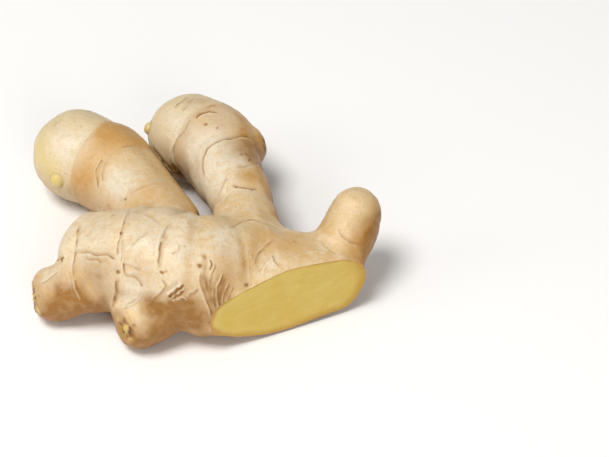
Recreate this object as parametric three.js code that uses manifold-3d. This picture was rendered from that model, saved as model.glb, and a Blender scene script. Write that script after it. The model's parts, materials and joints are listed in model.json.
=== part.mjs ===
// A hand of fresh ginger lying on its underside, as cut for the kitchen.
// A plump ringed body carries two long fingers at the back, two stubby knobs at the front left and a short
// shoot at the right. A knife has taken a branch off the front right and left one flat, pale yellow face.
// Units are millimetres, +Z is up, +X is right and +Y is away from the viewer.
// The origin is on the table, under the middle of the bounding box.

import * as THREE from "three";
import { mergeVertices } from "three/addons/utils/BufferGeometryUtils.js";
import Module from "manifold-3d";

// Driving dimensions.
const RING_REACH = 2.6; // how far a scale ring's pinch spreads to each side of it
const RING_WANDER = 1.1; // how far a ring strays from a true circle
const WANDER_SIZE = 24; // wavelength of that straying
const BLUNT_ROUNDING = 2.5; // rounding of the rim of a blunt end
const PRESS_GAP = 4; // crevice between two fingers that press on each other
const PRESS_ROUNDING = 2; // rounding of that crevice's rim
const LUMP_HEIGHT = 0.35; // soft unevenness of the whole skin
const LUMP_SIZE = 15; // wavelength of that unevenness
// The two pairs of crossed waves that straying and unevenness are made of. Each wave has a direction and
// a phase.
const WAVES = [
  [{ towards: [0.8, 0.6, 0], phase: 1.3 }, { towards: [-0.4, 0, 1], phase: 0.4 }],
  [{ towards: [0, 0.7, -0.7], phase: 2.1 }, { towards: [0.9, 0, 0.3], phase: 5.2 }],
];

// How finely the skin is drawn.
const STATION_STEP = 2; // spacing of the stations along a limb's axis
const CELL = 2.55; // spacing of the lattice
const FILLED = 0.1; // how far inside the skin a filled lattice point counts as
const SLOPE_STEP = 0.05; // half the step that a slope is measured over
const LEAST_SLOPE = 0.2; // keeps a vertex from leaping where the field is nearly level
const RELAX_ROUNDS = 8; // how often the vertices are evened out
const RELAX_PULL = 0.6; // share of the way to its neighbours' middle that a vertex moves in a round
const SETTLE_ROUNDS = 2; // steps back onto the skin after each move
const EGG_DETAIL = 2; // how finely the buds and dishes are faceted
const SPACE_LOW = [-64, -62, -6]; // the space that the lattice fills
const SPACE_HIGH = [64, 62, 44];
const BLOCK = 200; // side of the blocks that the knife and the table cut with

const SKIN_COLOUR = 0xd9b98a;
const SKIN_ROUGHNESS = 0.6;

// Each limb is a row of balls from its root to its tip, [x, y, z, radius]. Its skin is the smooth sleeve
// round them. A limb melts into its parent over the blend distance. A ring is how far along the limb's axis
// it lies and how deep it pinches.
const LIMBS = [
  {
    name: "body",
    balls: [
      [-29.3, -25.1, 16.5, 15],
      [-16.3, -30.1, 18.3, 18],
      [-1.3, -33.6, 18, 18.3],
      [13.7, -29.7, 15.6, 15.8],
      [28.7, -27.6, 14.5, 12.2],
      [42.2, -25.6, 14, 9.3],
    ],
    rings: [[-3.5, 1], [13, 1.1], [23, 0.9], [31, 1.2], [42, 1]],
  },
  {
    name: "left_finger",
    parent: "body",
    blend: 5,
    yieldsTo: "right_finger",
    balls: [
      [-10.3, -12.6, 17, 12],
      [-20.3, 4.9, 16.5, 12.6],
      [-31.9, 22.0, 15, 15.2],
      [-43.3, 29.9, 15, 15.4],
    ],
    rings: [[14, 0.5], [31, 0.6], [46.5, 0.9]],
  },
  {
    name: "right_finger",
    parent: "body",
    blend: 5,
    balls: [
      [15.2, -17.6, 18, 11.5],
      [13.7, -1.6, 19, 10.2],
      [8.3, 13.4, 19.5, 11.9],
      [3.3, 30.7, 17.8, 14.8],
      [-5.3, 40.6, 14.6, 14.9],
    ],
    rings: [[12.5, 0.8], [37, 0.9], [53, 0.7]],
  },
  {
    name: "finger_bump",
    parent: "right_finger",
    blend: 4,
    balls: [
      [10.2, 26.6, 18.8, 7.4],
      [16.4, 29, 19.4, 5.4],
    ],
    blunt: { towards: [0.95, 0.1, 0.3], at: 4.1 },
    rings: [],
  },
  {
    name: "left_knob",
    parent: "body",
    blend: 3,
    balls: [
      [-34.3, -33.6, 12.5, 9.5],
      [-44.8, -34.1, 9, 8.7],
    ],
    blunt: { towards: [-0.93, -0.3, 0.2], at: 7.2 },
    rings: [[3, 0.9]],
  },
  {
    name: "front_knob",
    parent: "body",
    blend: 3,
    balls: [
      [-9.3, -41.6, 12.5, 10],
      [-16.8, -45.8, 9.2, 9.4],
    ],
    blunt: { towards: [-0.85, -0.5, 0.1], at: 8 },
    rings: [[2.5, 0.9]],
  },
  {
    name: "shoot",
    parent: "body",
    blend: 4,
    balls: [
      [41.7, -25.6, 14, 9.3],
      [47.2, -19.6, 20, 9.2],
      [50.2, -13.6, 25, 8.3],
    ],
    rings: [[6, 0.8]],
  },
  {
    name: "cut_branch",
    parent: "body",
    blend: 5,
    balls: [
      [3, -43.5, 10.2, 7.6],
      [10.5, -44, 10.8, 7.9],
      [18, -42, 11.4, 10.4],
      [28.7, -38.1, 12.6, 12],
      [43.3, -32.6, 11.8, 9.8],
    ],
    rings: [],
  },
  {
    name: "cut_heel",
    parent: "cut_branch",
    blend: 2.5,
    balls: [
      [2, -43.5, 10.5, 6],
      [8.2, -50.8, 9.7, 1.9],
    ],
    rings: [],
  },
];

// Small buds that stand out of the skin: where, which way, half their width and how far they stand out.
const BUDS = [
  { at: [-48.7, 15.4, 15.6], towards: [-0.68, -0.72, 0.13], across: 2.3, out: 1.3 },
  { at: [-20, 40.3, 18.8], towards: [-0.95, 0.07, 0.29], across: 2.2, out: 1.5 },
  { at: [-51, -35.4, 8.5], towards: [-0.95, -0.28, 0.11], across: 1.7, out: 1.2 },
  { at: [-20.7, -51.9, 10.6], towards: [-0.73, -0.66, 0.17], across: 1.6, out: 1.2 },
];

// Dished scars where a neighbour broke off: the dish's middle, which way it faces, half its width and
// its depth.
const SCARS = [
  { at: [-51.8, -35.6, 8.6], towards: [-0.95, -0.28, 0.11], across: 4.6, deep: 1.1 },
  { at: [-21.3, -52.6, 10.8], towards: [-0.73, -0.66, 0.17], across: 4.1, deep: 1.1 },
  { at: [20, 27.6, 21.6], towards: [0.9, -0.02, 0.43], across: 3.2, deep: 0.8 },
];

// The knife's plane: y = KNIFE_TURN x + KNIFE_LEAN z + KNIFE_SET, with the branch that went in front of it.
const KNIFE_TURN = 0.46;
const KNIFE_LEAN = 0.05;
const KNIFE_SET = -54.9;

const wasm = await Module();
wasm.setup();

// A limb's axis as stations with a place, a radius and a distance from the root.
function stationsOf(balls) {
  const places = balls.map(([x, y, z]) => new THREE.Vector3(x, y, z));
  const axis = new THREE.CatmullRomCurve3(places, false, "catmullrom");
  const sizes = balls.map((ball) => new THREE.Vector3(ball[3], 0, 0));
  const size = new THREE.CatmullRomCurve3(sizes, false, "catmullrom");
  const count = Math.ceil(axis.getLength() / STATION_STEP);
  const stations = [];
  let along = 0;
  for (let i = 0; i <= count; i++) {
    const place = axis.getPoint(i / count);
    if (i > 0) along += place.distanceTo(stations[i - 1].place);
    stations.push({ place, radius: size.getPoint(i / count).x, along });
  }
  return stations;
}

// Distance from a point to a limb's sleeve, and how far along the limb it is.
// Past either end the distance along goes on growing or falling, so that rings can lie on the round ends.
function sleeve(stations, x, y, z) {
  let best = Infinity;
  let bestAlong = 0;
  const last = stations.length - 2;
  for (let i = 0; i <= last; i++) {
    const a = stations[i];
    const b = stations[i + 1];
    const dx = b.place.x - a.place.x;
    const dy = b.place.y - a.place.y;
    const dz = b.place.z - a.place.z;
    const px = x - a.place.x;
    const py = y - a.place.y;
    const pz = z - a.place.z;
    const raw = (px * dx + py * dy + pz * dz) / (dx * dx + dy * dy + dz * dz);
    const t = Math.min(1, Math.max(0, raw));
    const gap = Math.hypot(px - t * dx, py - t * dy, pz - t * dz);
    const distance = gap - (a.radius + t * (b.radius - a.radius));
    if (distance < best) {
      best = distance;
      const open = (i === 0 && raw < 0) || (i === last && raw > 1);
      bestAlong = a.along + (open ? raw : t) * (b.along - a.along);
    }
  }
  return { distance: best, along: bestAlong };
}

// Soft unevenness from a few crossed waves, from -1 to 1.
function waves(x, y, z, size) {
  const k = (2 * Math.PI) / size;
  let sum = 0;
  for (const pair of WAVES) {
    let crossed = 1;
    for (const { towards, phase } of pair)
      crossed *= Math.sin(k * (towards[0] * x + towards[1] * y + towards[2] * z) + phase);
    sum += crossed;
  }
  return sum / WAVES.length;
}

// The pinches of a limb's scale rings at a distance along it.
function ringRelief(rings, along, wander) {
  let relief = 0;
  for (const [place, depth] of rings) {
    const off = (along + wander - place) / RING_REACH;
    relief -= depth * Math.exp(-off * off);
  }
  return relief;
}

// The lower of two distances, rounded where they meet.
function blendMin(a, b, reach) {
  const h = Math.max(0, reach - Math.abs(a - b)) / reach;
  return Math.min(a, b) - (h * h * reach) / 4;
}

// The higher of two distances, rounded where they meet.
function blendMax(a, b, reach) {
  return -blendMin(-a, -b, reach);
}

const indexOf = (name) => LIMBS.findIndex((limb) => limb.name === name);
const limbs = LIMBS.map((limb) => ({
  ...limb,
  stations: stationsOf(limb.balls),
  parentIndex: indexOf(limb.parent),
  yieldsIndex: indexOf(limb.yieldsTo),
}));

// Distance to one limb's own skin, with its rings and its blunt end.
function bareSkin(limb, x, y, z, wander) {
  const { distance, along } = sleeve(limb.stations, x, y, z);
  const ringed = distance - ringRelief(limb.rings, along, wander);
  if (!limb.blunt) return ringed;
  const tip = limb.stations[limb.stations.length - 1].place;
  const [tx, ty, tz] = limb.blunt.towards;
  const past = (x - tip.x) * tx + (y - tip.y) * ty + (z - tip.z) * tz - limb.blunt.at;
  return blendMax(ringed, past, BLUNT_ROUNDING);
}

// The whole skin as a distance field, below zero inside.
// A limb melts into its parent alone, so neighbouring fingers keep a crease between them.
function field(x, y, z) {
  const wander = RING_WANDER * waves(x, y, z, WANDER_SIZE);
  const bare = limbs.map((limb) => bareSkin(limb, x, y, z, wander));
  let skin = bare[0];
  limbs.forEach(({ parentIndex, yieldsIndex, blend }, i) => {
    if (parentIndex < 0) return;
    const clear = yieldsIndex < 0 ? -Infinity : PRESS_GAP - bare[yieldsIndex];
    const own = blendMax(bare[i], clear, PRESS_ROUNDING);
    skin = Math.min(skin, blendMin(own, bare[parentIndex], blend));
  });
  return skin - LUMP_HEIGHT * waves(x, y, z, LUMP_SIZE);
}

// The direction in which the field rises fastest.
function gradient(p) {
  const e = SLOPE_STEP;
  return new THREE.Vector3(
    field(p.x + e, p.y, p.z) - field(p.x - e, p.y, p.z),
    field(p.x, p.y + e, p.z) - field(p.x, p.y - e, p.z),
    field(p.x, p.y, p.z + e) - field(p.x, p.y, p.z - e),
  ).divideScalar(2 * e);
}

// Moves a point onto the skin.
function settle(p) {
  for (let i = 0; i < SETTLE_ROUNDS; i++) {
    const slope = gradient(p);
    const steep = Math.max(LEAST_SLOPE, slope.lengthSq());
    p.addScaledVector(slope, -field(p.x, p.y, p.z) / steep);
  }
}

// Where a lattice face has its two inside corners across from each other, one more corner is filled,
// so that no two sheets of the skin share an edge.
function fillSaddles(values, [across, deep]) {
  const [i, j, k] = [1, across, across * deep];
  let found = true;
  while (found) {
    found = false;
    for (let at = 0; at + i + j + k < values.length; at++)
      for (const [u, v] of [[i, j], [j, k], [k, i]]) {
        const corners = [at, at + u, at + u + v, at + v];
        const [a, b, c, d] = corners.map((corner) => values[corner] < 0);
        if (a !== c || b !== d || a === b) continue;
        const outside = corners.filter((corner) => values[corner] >= 0);
        const nearest = values[outside[0]] < values[outside[1]] ? outside[0] : outside[1];
        values[nearest] = -FILLED;
        found = true;
      }
  }
}

// A closed net of four-sided faces on the skin: one vertex in each lattice cell that the skin crosses,
// and one face for each lattice edge that it crosses.
function skinNet() {
  const low = SPACE_LOW;
  const n = low.map((start, axis) => Math.ceil((SPACE_HIGH[axis] - start) / CELL) + 1);
  const at = (i, j, k) => (k * n[1] + j) * n[0] + i;
  const values = new Float64Array(n[0] * n[1] * n[2]);
  for (let k = 0; k < n[2]; k++)
    for (let j = 0; j < n[1]; j++)
      for (let i = 0; i < n[0]; i++)
        values[at(i, j, k)] = field(low[0] + i * CELL, low[1] + j * CELL, low[2] + k * CELL);
  fillSaddles(values, n);

  const points = [];
  const cellPoint = new Map();
  const corners = [0, 1, 2, 3, 4, 5, 6, 7].map((c) => [c & 1, (c >> 1) & 1, (c >> 2) & 1]);
  const edges = [];
  for (let a = 0; a < 8; a++)
    for (let bit = 1; bit < 8; bit <<= 1) if (!(a & bit)) edges.push([a, a | bit]);
  for (let k = 0; k < n[2] - 1; k++)
    for (let j = 0; j < n[1] - 1; j++)
      for (let i = 0; i < n[0] - 1; i++) {
        const v = corners.map(([a, b, c]) => values[at(i + a, j + b, k + c)]);
        const sum = new THREE.Vector3();
        let crossings = 0;
        for (const [a, b] of edges) {
          if (v[a] < 0 === v[b] < 0) continue;
          const t = v[a] / (v[a] - v[b]);
          const place = corners[a].map((c, axis) => c + t * (corners[b][axis] - c));
          sum.add(new THREE.Vector3(...place));
          crossings++;
        }
        if (!crossings) continue;
        sum.divideScalar(crossings).add(new THREE.Vector3(i, j, k)).multiplyScalar(CELL);
        cellPoint.set(at(i, j, k), points.length);
        points.push(sum.add(new THREE.Vector3(...low)));
      }

  const quads = [];
  for (let k = 1; k < n[2] - 1; k++)
    for (let j = 1; j < n[1] - 1; j++)
      for (let i = 1; i < n[0] - 1; i++) {
        const here = values[at(i, j, k)] < 0;
        const faces = [
          [at(i + 1, j, k), [[0, -1, -1], [0, 0, -1], [0, 0, 0], [0, -1, 0]]],
          [at(i, j + 1, k), [[-1, 0, -1], [-1, 0, 0], [0, 0, 0], [0, 0, -1]]],
          [at(i, j, k + 1), [[-1, -1, 0], [0, -1, 0], [0, 0, 0], [-1, 0, 0]]],
        ];
        for (const [next, cells] of faces) {
          if (here === values[next] < 0) continue;
          const quad = cells.map(([a, b, c]) => cellPoint.get(at(i + a, j + b, k + c)));
          quads.push(here ? quad : quad.reverse());
        }
      }
  return { points, quads };
}

// Evens out the net: each vertex moves towards the middle of its neighbours, then back onto the skin.
function relax({ points, quads }) {
  const neighbours = points.map(() => new Set());
  for (const quad of quads)
    quad.forEach((a, i) => {
      const b = quad[(i + 1) % 4];
      neighbours[a].add(b);
      neighbours[b].add(a);
    });
  for (let round = 0; round < RELAX_ROUNDS; round++) {
    const middles = points.map((p, i) => {
      const sum = new THREE.Vector3();
      for (const j of neighbours[i]) sum.add(points[j]);
      return sum.divideScalar(neighbours[i].size);
    });
    points.forEach((p, i) => {
      p.lerp(middles[i], RELAX_PULL);
      settle(p);
    });
  }
}

// Splits each face along the diagonal that stays nearer to the skin, unless that line is an edge already.
function trianglesOf({ points, quads }) {
  const key = (a, b) => Math.min(a, b) * points.length + Math.max(a, b);
  const edges = new Set(quads.flatMap((quad) => quad.map((a, i) => key(a, quad[(i + 1) % 4]))));
  const strays = (a, b) => {
    if (edges.has(key(a, b))) return Infinity;
    const middle = points[a].clone().lerp(points[b], 0.5);
    return Math.abs(field(middle.x, middle.y, middle.z));
  };
  return quads.flatMap(([a, b, c, d]) => {
    const straight = strays(a, c) <= strays(b, d);
    edges.add(straight ? key(a, c) : key(b, d));
    return straight ? [a, b, c, a, c, d] : [a, b, d, b, c, d];
  });
}

function solidFrom(positions, indices) {
  const mesh = new wasm.Mesh({
    numProp: 3,
    vertProperties: new Float32Array(positions),
    triVerts: new Uint32Array(indices),
  });
  return new wasm.Manifold(mesh);
}

// A closed three.js shape as a solid.
function shapeSolid(shape, matrix) {
  shape.applyMatrix4(matrix);
  shape.deleteAttribute("normal");
  shape.deleteAttribute("uv");
  const merged = mergeVertices(shape);
  return solidFrom(merged.attributes.position.array, merged.index.array);
}

// A ball flattened or stretched along one direction.
function eggSolid(at, towards, across, thick) {
  const middle = new THREE.Vector3(...at);
  const turn = new THREE.Quaternion().setFromUnitVectors(
    new THREE.Vector3(0, 0, 1),
    new THREE.Vector3(...towards).normalize(),
  );
  const matrix = new THREE.Matrix4().compose(middle, turn, new THREE.Vector3(across, across, thick));
  return shapeSolid(new THREE.IcosahedronGeometry(1, EGG_DETAIL), matrix);
}

function geometryOf(solid) {
  const { vertProperties, triVerts, numProp } = solid.getMesh();
  const positions = new Float32Array((vertProperties.length / numProp) * 3);
  for (let i = 0; i < positions.length; i++)
    positions[i] = vertProperties[Math.floor(i / 3) * numProp + (i % 3)];
  const geometry = new THREE.BufferGeometry();
  geometry.setAttribute("position", new THREE.BufferAttribute(positions, 3));
  geometry.setIndex(new THREE.BufferAttribute(new Uint32Array(triVerts), 1));
  geometry.computeVertexNormals();
  return geometry;
}

const net = skinNet();
relax(net);
const body = solidFrom(
  net.points.flatMap((p) => p.toArray()),
  trianglesOf(net),
);
const dished = SCARS.reduce(
  (solid, { at, towards, across, deep }) => solid.subtract(eggSolid(at, towards, across, deep)),
  body,
);
const budded = BUDS.reduce(
  (solid, { at, towards, across, out }) => solid.add(eggSolid(at, towards, across, out)),
  dished,
);

// The knife takes what is in front of its plane, and the table flattens the lowest spots of the underside.
const block = () => new THREE.BoxGeometry(BLOCK, BLOCK, BLOCK);
const knifeFront = new THREE.Vector3(KNIFE_TURN, -1, KNIFE_LEAN).normalize();
const knifeTurn = new THREE.Quaternion().setFromUnitVectors(new THREE.Vector3(0, -1, 0), knifeFront);
const knifeMatrix = new THREE.Matrix4()
  .makeTranslation(0, KNIFE_SET, 0)
  .multiply(new THREE.Matrix4().makeRotationFromQuaternion(knifeTurn))
  .multiply(new THREE.Matrix4().makeTranslation(0, -BLOCK / 2, 0));
const knife = shapeSolid(block(), knifeMatrix);
const table = shapeSolid(block(), new THREE.Matrix4().makeTranslation(0, 0, -BLOCK / 2));
const ginger = budded.subtract(knife).subtract(table);

const skin = new THREE.MeshStandardMaterial({
  color: SKIN_COLOUR,
  roughness: SKIN_ROUGHNESS,
  metalness: 0,
});
const root = new THREE.Mesh(geometryOf(ginger), skin);
root.name = "ginger_root";

const group = new THREE.Group();
group.add(root);

export default group;
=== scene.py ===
"""A hand of fresh ginger, dressed as the real thing, on a plain pale floor."""
import json
import math

import bmesh
import bpy
import numpy as np
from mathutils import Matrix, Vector
from mathutils.bvhtree import BVHTree
from mathutils.geometry import delaunay_2d_cdt

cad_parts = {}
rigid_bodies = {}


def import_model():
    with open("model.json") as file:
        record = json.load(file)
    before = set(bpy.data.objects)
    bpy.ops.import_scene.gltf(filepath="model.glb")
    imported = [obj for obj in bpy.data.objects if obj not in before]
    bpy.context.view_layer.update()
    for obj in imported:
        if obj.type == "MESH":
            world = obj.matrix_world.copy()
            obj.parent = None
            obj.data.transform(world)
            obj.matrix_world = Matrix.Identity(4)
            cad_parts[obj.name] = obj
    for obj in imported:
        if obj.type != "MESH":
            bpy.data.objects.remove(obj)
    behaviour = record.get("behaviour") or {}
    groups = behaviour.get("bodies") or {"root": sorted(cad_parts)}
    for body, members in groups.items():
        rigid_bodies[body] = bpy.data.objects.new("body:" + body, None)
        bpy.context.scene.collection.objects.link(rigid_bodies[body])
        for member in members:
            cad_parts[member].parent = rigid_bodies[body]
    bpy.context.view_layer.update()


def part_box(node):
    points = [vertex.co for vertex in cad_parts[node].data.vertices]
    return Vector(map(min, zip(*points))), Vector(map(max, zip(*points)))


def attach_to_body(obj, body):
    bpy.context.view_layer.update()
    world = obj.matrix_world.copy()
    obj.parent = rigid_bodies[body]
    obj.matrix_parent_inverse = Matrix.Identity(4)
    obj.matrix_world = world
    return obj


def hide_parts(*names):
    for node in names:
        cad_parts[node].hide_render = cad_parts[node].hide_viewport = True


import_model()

bl_info = {
    "name": "Fresh Ginger Root",
    "version": (1, 0, 0),
    "blender": (4, 5, 0),
    "location": "View3D > Sidebar > Ginger",
    "description": "Builds a cut hand of fresh ginger with its ringed skin, buds, scars and moist flesh",
    "category": "Add Mesh",
}

MM = 0.001
ROOT_NODE = "ginger_root"
ROOT_BODY = "root"

# The frame that the photograph's marks are given in, in pixels.
PHOTO_WIDTH = 609
PHOTO_HEIGHT = 457

# Each limb is a row of balls from its root to its tip, (x, y, z, radius) in millimetres. A limb melts into
# its parent over the blend distance. A ring is how far along the limb it lies and how deep it pinches.
LIMBS = {
    "body": {
        "balls": (
            (-29.3, -25.1, 16.5, 15), (-16.3, -30.1, 18.3, 18), (-1.3, -33.6, 18, 18.3),
            (13.7, -29.7, 15.6, 15.8), (28.7, -27.6, 14.5, 12.2), (42.2, -25.6, 14, 9.3),
        ),
        "rings": ((-3.5, 0.6), (13, 0.7), (23, 0.6), (30.5, 0.8), (42, 0.35)),
    },
    "left_finger": {
        "parent": "body",
        "blend": 5,
        "yields_to": "right_finger",
        "balls": (
            (-10.3, -12.6, 17, 12), (-20.3, 4.9, 16.5, 12.6), (-31.9, 22, 15, 15.2),
            (-43.3, 29.9, 15, 15.4),
        ),
        "rings": ((14, 0.2), (31, 0.35), (46.5, 0.5)),
    },
    "right_finger": {
        "parent": "body",
        "blend": 5,
        "balls": (
            (15.2, -17.6, 18, 11.5), (13.7, -1.6, 19, 10.2), (8.3, 13.4, 19.5, 11.9),
            (3.3, 30.7, 17.8, 14.8), (-5.3, 40.6, 14.6, 14.9),
        ),
        "rings": ((12.5, 0.5), (37, 0.5), (53, 0.4)),
    },
    "finger_bump": {
        "parent": "right_finger",
        "blend": 4,
        "balls": (
            (10.2, 26.6, 18.8, 7.4), (16.4, 29, 19.4, 5.4),
        ),
        "blunt": ((0.95, 0.1, 0.3), 4.1),
        "rings": (),
    },
    "left_knob": {
        "parent": "body",
        "blend": 3,
        "balls": (
            (-34.3, -33.6, 12.5, 9.5), (-44.8, -34.1, 9, 8.7),
        ),
        "blunt": ((-0.93, -0.3, 0.2), 7.2),
        "rings": ((3, 0.5),),
    },
    "front_knob": {
        "parent": "body",
        "blend": 3,
        "balls": (
            (-9.3, -41.6, 12.5, 10), (-16.8, -45.8, 9.2, 9.4),
        ),
        "blunt": ((-0.85, -0.5, 0.1), 8),
        "rings": ((2.5, 0.5),),
    },
    "shoot": {
        "parent": "body",
        "blend": 4,
        "balls": (
            (41.7, -25.6, 14, 9.3), (47.2, -19.6, 20, 9.2), (50.2, -13.6, 25, 8.3),
        ),
        "rings": ((6, 0.4),),
    },
    "cut_branch": {
        "parent": "body",
        "blend": 5,
        "balls": (
            (3, -43.5, 10.2, 7.6), (10.5, -44, 10.8, 7.9), (18, -42, 11.4, 10.4), (28.7, -38.1, 12.6, 12),
            (43.3, -32.6, 11.8, 9.8),
        ),
        "rings": (),
    },
    "cut_heel": {
        "parent": "cut_branch",
        "blend": 2.5,
        "balls": (
            (2, -43.5, 10.5, 6), (8.2, -50.8, 9.7, 1.9),
        ),
        "rings": (),
    },
}
TIP_LINES = {"left_finger": (52, 57, 61), "right_finger": (60, 65, 69), "shoot": (15, 19)}
STATION_STEP = 3.0  # spacing of the stations along a limb's axis
SLEEVE_STEPS = 3  # steps from the nearest station onto the smooth axis
MARK_REACH = 0.6  # how far each side of a thin mark the mesh is finer
BLUNT_ROUNDING = 2.5  # rounding of the rim of a blunt end
PRESS_GAP = 4.0  # crevice between two fingers that press on each other
PRESS_ROUNDING = 2.0  # rounding of that crevice's rim
RING_REACH = 2.4  # how far a ring's soft pinch spreads
RING_WANDER = 1.1  # how far a ring strays from a true circle
WANDER_SIZE = 24.0  # wavelength of that straying
LUMP_HEIGHT = 0.35  # soft unevenness of the whole skin
LUMP_SIZE = 15.0  # wavelength of that unevenness
NEAR = 9.0  # how far off a limb still matters to the skin
FAR = 40.0  # distance that stands for any further one
PART_SIZE = 20000  # how many points are worked out at a time
AXIS_SAMPLES = 201  # points that a limb's length is measured with
SLOPE_STEP = 0.04  # step that the skin's slope is measured over
RIM_STEP = 0.05  # the same along the cut's rim
FLESH_STEP = 0.5  # the same inside the cut
LEAP = 2.0  # furthest that a point moves at once on its way to the skin
FAINT = 0.3  # strength up to which a mark gets no finer mesh
MARK_MARGIN = 2.0  # room round a mark in which its distance is worked out
GRAZING = 0.02  # how far a face must turn to the camera to count as shown
CLEARANCE = 1.5  # how far off the skin a line of sight starts
FAINT_ARCS = (0.192, 0.408)  # levels of the noise that draw faint lines on the unseen sides
SCATTER = (374761393, 668265263, 2147483647, 974711, 1274126177)  # factors of the lattice noise's hash
CAP_ROWS = (0.22, 0.45, 0.75, 1.15, 1.7, 2.4)  # distances from the cut's rim to rows of points along it
CAP_GRID = 0.9  # spacing of the points inside those rows
CAP_INSET = 3.0  # how far inside the rim those points begin
CAP_ROOM = 0.85  # share of its own distance that a row's point keeps from every part of the rim
CUT_SLACK = 0.3  # how near the knife's plane a point counts as flesh
LEAST_SLOPE = 0.35  # least slope by which a depth in the flesh is divided

# The stage, in metres: half the floor's side, what the camera starts to see at, and the point that the
# soft lights face. Then each light's place, size and power setting.
FLOOR_HALF = 2.0
CLIP_START = 0.01
LIGHT_TARGET = (0, 0, 0.015)
LIGHT_COLOUR = (1.0, 0.985, 0.96)
LIGHTS = {
    "key": ((-0.48, -0.42, 1.50), 0.75, "key_power"),
    "left": ((-1.4, -0.5, 0.75), 0.8, "left_power"),
    "front": ((0.5, -1.45, 0.7), 0.8, "front_power"),
}

# The knife's plane in millimetres: y = turn x + lean z + set, with the branch that went in front of it.
KNIFE_TURN = 0.46
KNIFE_LEAN = 0.05
KNIFE_SET = -54.9

# Buds that stand out of the skin: where, which way, half their width and how far they stand out.
BUDS = (
    ((-48.7, 15.4, 15.6), (-0.68, -0.72, 0.13), 2.4, 1.3),
    ((-20, 40.3, 18.8), (-0.95, 0.07, 0.29), 2.2, 1.5),
    ((-51, -35.4, 8.5), (-0.95, -0.28, 0.11), 1.7, 0.9),
    ((-20.7, -51.9, 10.6), (-0.73, -0.66, 0.17), 1.6, 0.9),
)
# Scars where a neighbour broke off: the dish's middle, which way it faces, half its width, its depth.
SCARS = (
    ((-51.8, -35.6, 8.6), (-0.95, -0.28, 0.11), 4.6, 0.9),
    ((-21.3, -52.6, 10.8), (-0.73, -0.66, 0.17), 4.1, 0.9),
    ((20, 27.6, 21.6), (0.9, -0.02, 0.43), 3.2, 0.6),
)

# Marks that the photograph shows, as pixels of its frame. Each is carried onto the skin along the line of
# sight. A crease is a thin brown line, a seam a pale raised line, a scale edge a ragged dry rim, a strand a
# dry fibre and a band a soft brown strip. Each starts with its strength.
CREASES = {
    "first body ring": (0.55, (86, 212), (80, 223), (78, 232), (77, 241), (75, 253), (73, 266), (74, 279)),
    "first body ring below": (0.8, (74, 279), (76, 288), (79, 294), (83, 300)),
    # Painted shadow in the crevice where the fingers press together.
    "crevice between the fingers": (
        1.6, (152, 146), (156, 151), (161, 157), (166, 163), (171, 169), (176, 175), (180, 180),
    ),
    "second body ring's top": (0.45, (130, 208), (127, 215), (124, 223), (121, 233)),
    "second body ring": (0.7, (122, 230), (120, 238), (118, 245), (117, 256)),
    "second body ring below": (0.8, (124, 263), (124, 276)),
    "second body ring's foot": (0.7, (117, 278), (116, 290), (114, 300), (113, 309)),
    "third body ring's top": (0.45, (171, 221), (166, 230), (162, 240)),
    "third body ring": (0.75, (162, 240), (160, 250), (158, 262), (158, 269)),
    "third body ring below": (0.6, (161, 278), (166, 286), (163, 291), (156, 297), (152, 302)),
    "fourth body ring": (0.85, (200, 270), (201, 285), (205, 297), (210, 308), (213, 318)),
    "arc right of the third ring": (0.45, (180, 244), (177, 250), (171, 254)),
    "fifth body ring": (0.4, (275, 238), (266, 245), (259, 253), (253, 266)),
    "wavy crease": (
        0.6, (75, 253), (83, 253), (90, 253), (96, 256), (101, 255), (107, 255), (112, 258), (117, 260),
    ),
    "wavy crease below": (0.4, (84, 258), (90, 260), (98, 260), (101, 264)),
    "crease under the scar": (0.6, (124, 276), (129, 277), (134, 278), (139, 282), (142, 288)),
    "crease over the front knob": (0.4, (142, 290), (137, 298), (130, 303), (124, 306)),
    "crease right of the scar": (0.3, (124, 263), (130, 266), (136, 269), (142, 270)),
    "left knob's upper crease": (0.7, (56, 262), (60, 260), (65, 258)),
    "arc under the finger": (
        0.5, (229, 231), (234, 226), (240, 223), (251, 220), (263, 223), (274, 227), (284, 232),
    ),
    "crease over the cut": (0.4, (272, 254), (275, 261), (280, 267)),
    "shoot's base": (0.35, (318, 240), (324, 246), (330, 252), (337, 255)),
    "left finger's second ring": (0.2, (104, 159), (100, 168), (98, 177), (98, 187), (101, 195)),
    "left finger's faint line": (0.5, (121, 148), (129, 147), (138, 146)),
    "right finger's crack": (0.6, (194, 93), (189, 97), (183, 100), (178, 104), (174, 109)),
    "right finger's sheath line": (
        0.45, (192, 118), (187, 125), (183, 132), (178, 138), (174, 147), (171, 156),
    ),
    "right finger's strong dash": (1.3, (196, 118), (202, 114), (209, 112), (219, 114)),
    "right finger's short dash": (0.7, (208, 109), (212, 106), (216, 107)),
    "right finger's curl": (0.5, (243, 154), (247, 156), (250, 159), (247, 162)),
    "right finger's long wrinkle": (0.45, (228, 177), (224, 184), (220, 192), (216, 202)),
    "left finger's wrinkle": (0.6, (103, 158), (99, 164), (96, 171), (97, 180), (98, 189)),
    "left finger's wrinkle, right": (0.45, (107, 160), (103, 167), (102, 175), (103, 182)),
    "left finger's tip line": (0.3, (62, 118), (56, 124), (51, 131)),
    "right finger's second ring": (
        0.85, (205, 180), (203, 168), (204, 158), (207, 150), (216, 143), (229, 139), (242, 137), (254, 141),
    ),
    "right finger's low ring": (0.8, (230, 186), (236, 187), (244, 188), (252, 189), (258, 189)),
    "right finger's side line": (0.35, (235, 168), (244, 167), (252, 165), (259, 164)),
    "left finger's low line": (0.35, (129, 196), (138, 190), (149, 186), (160, 184)),
    "body's faint line": (0.35, (143, 215), (152, 219), (160, 226)),
    "left of the third ring": (0.35, (131, 247), (137, 240), (144, 236), (150, 231)),
    "shoot's lower line": (0.35, (337, 228), (342, 236), (350, 242), (359, 246)),
}
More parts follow.
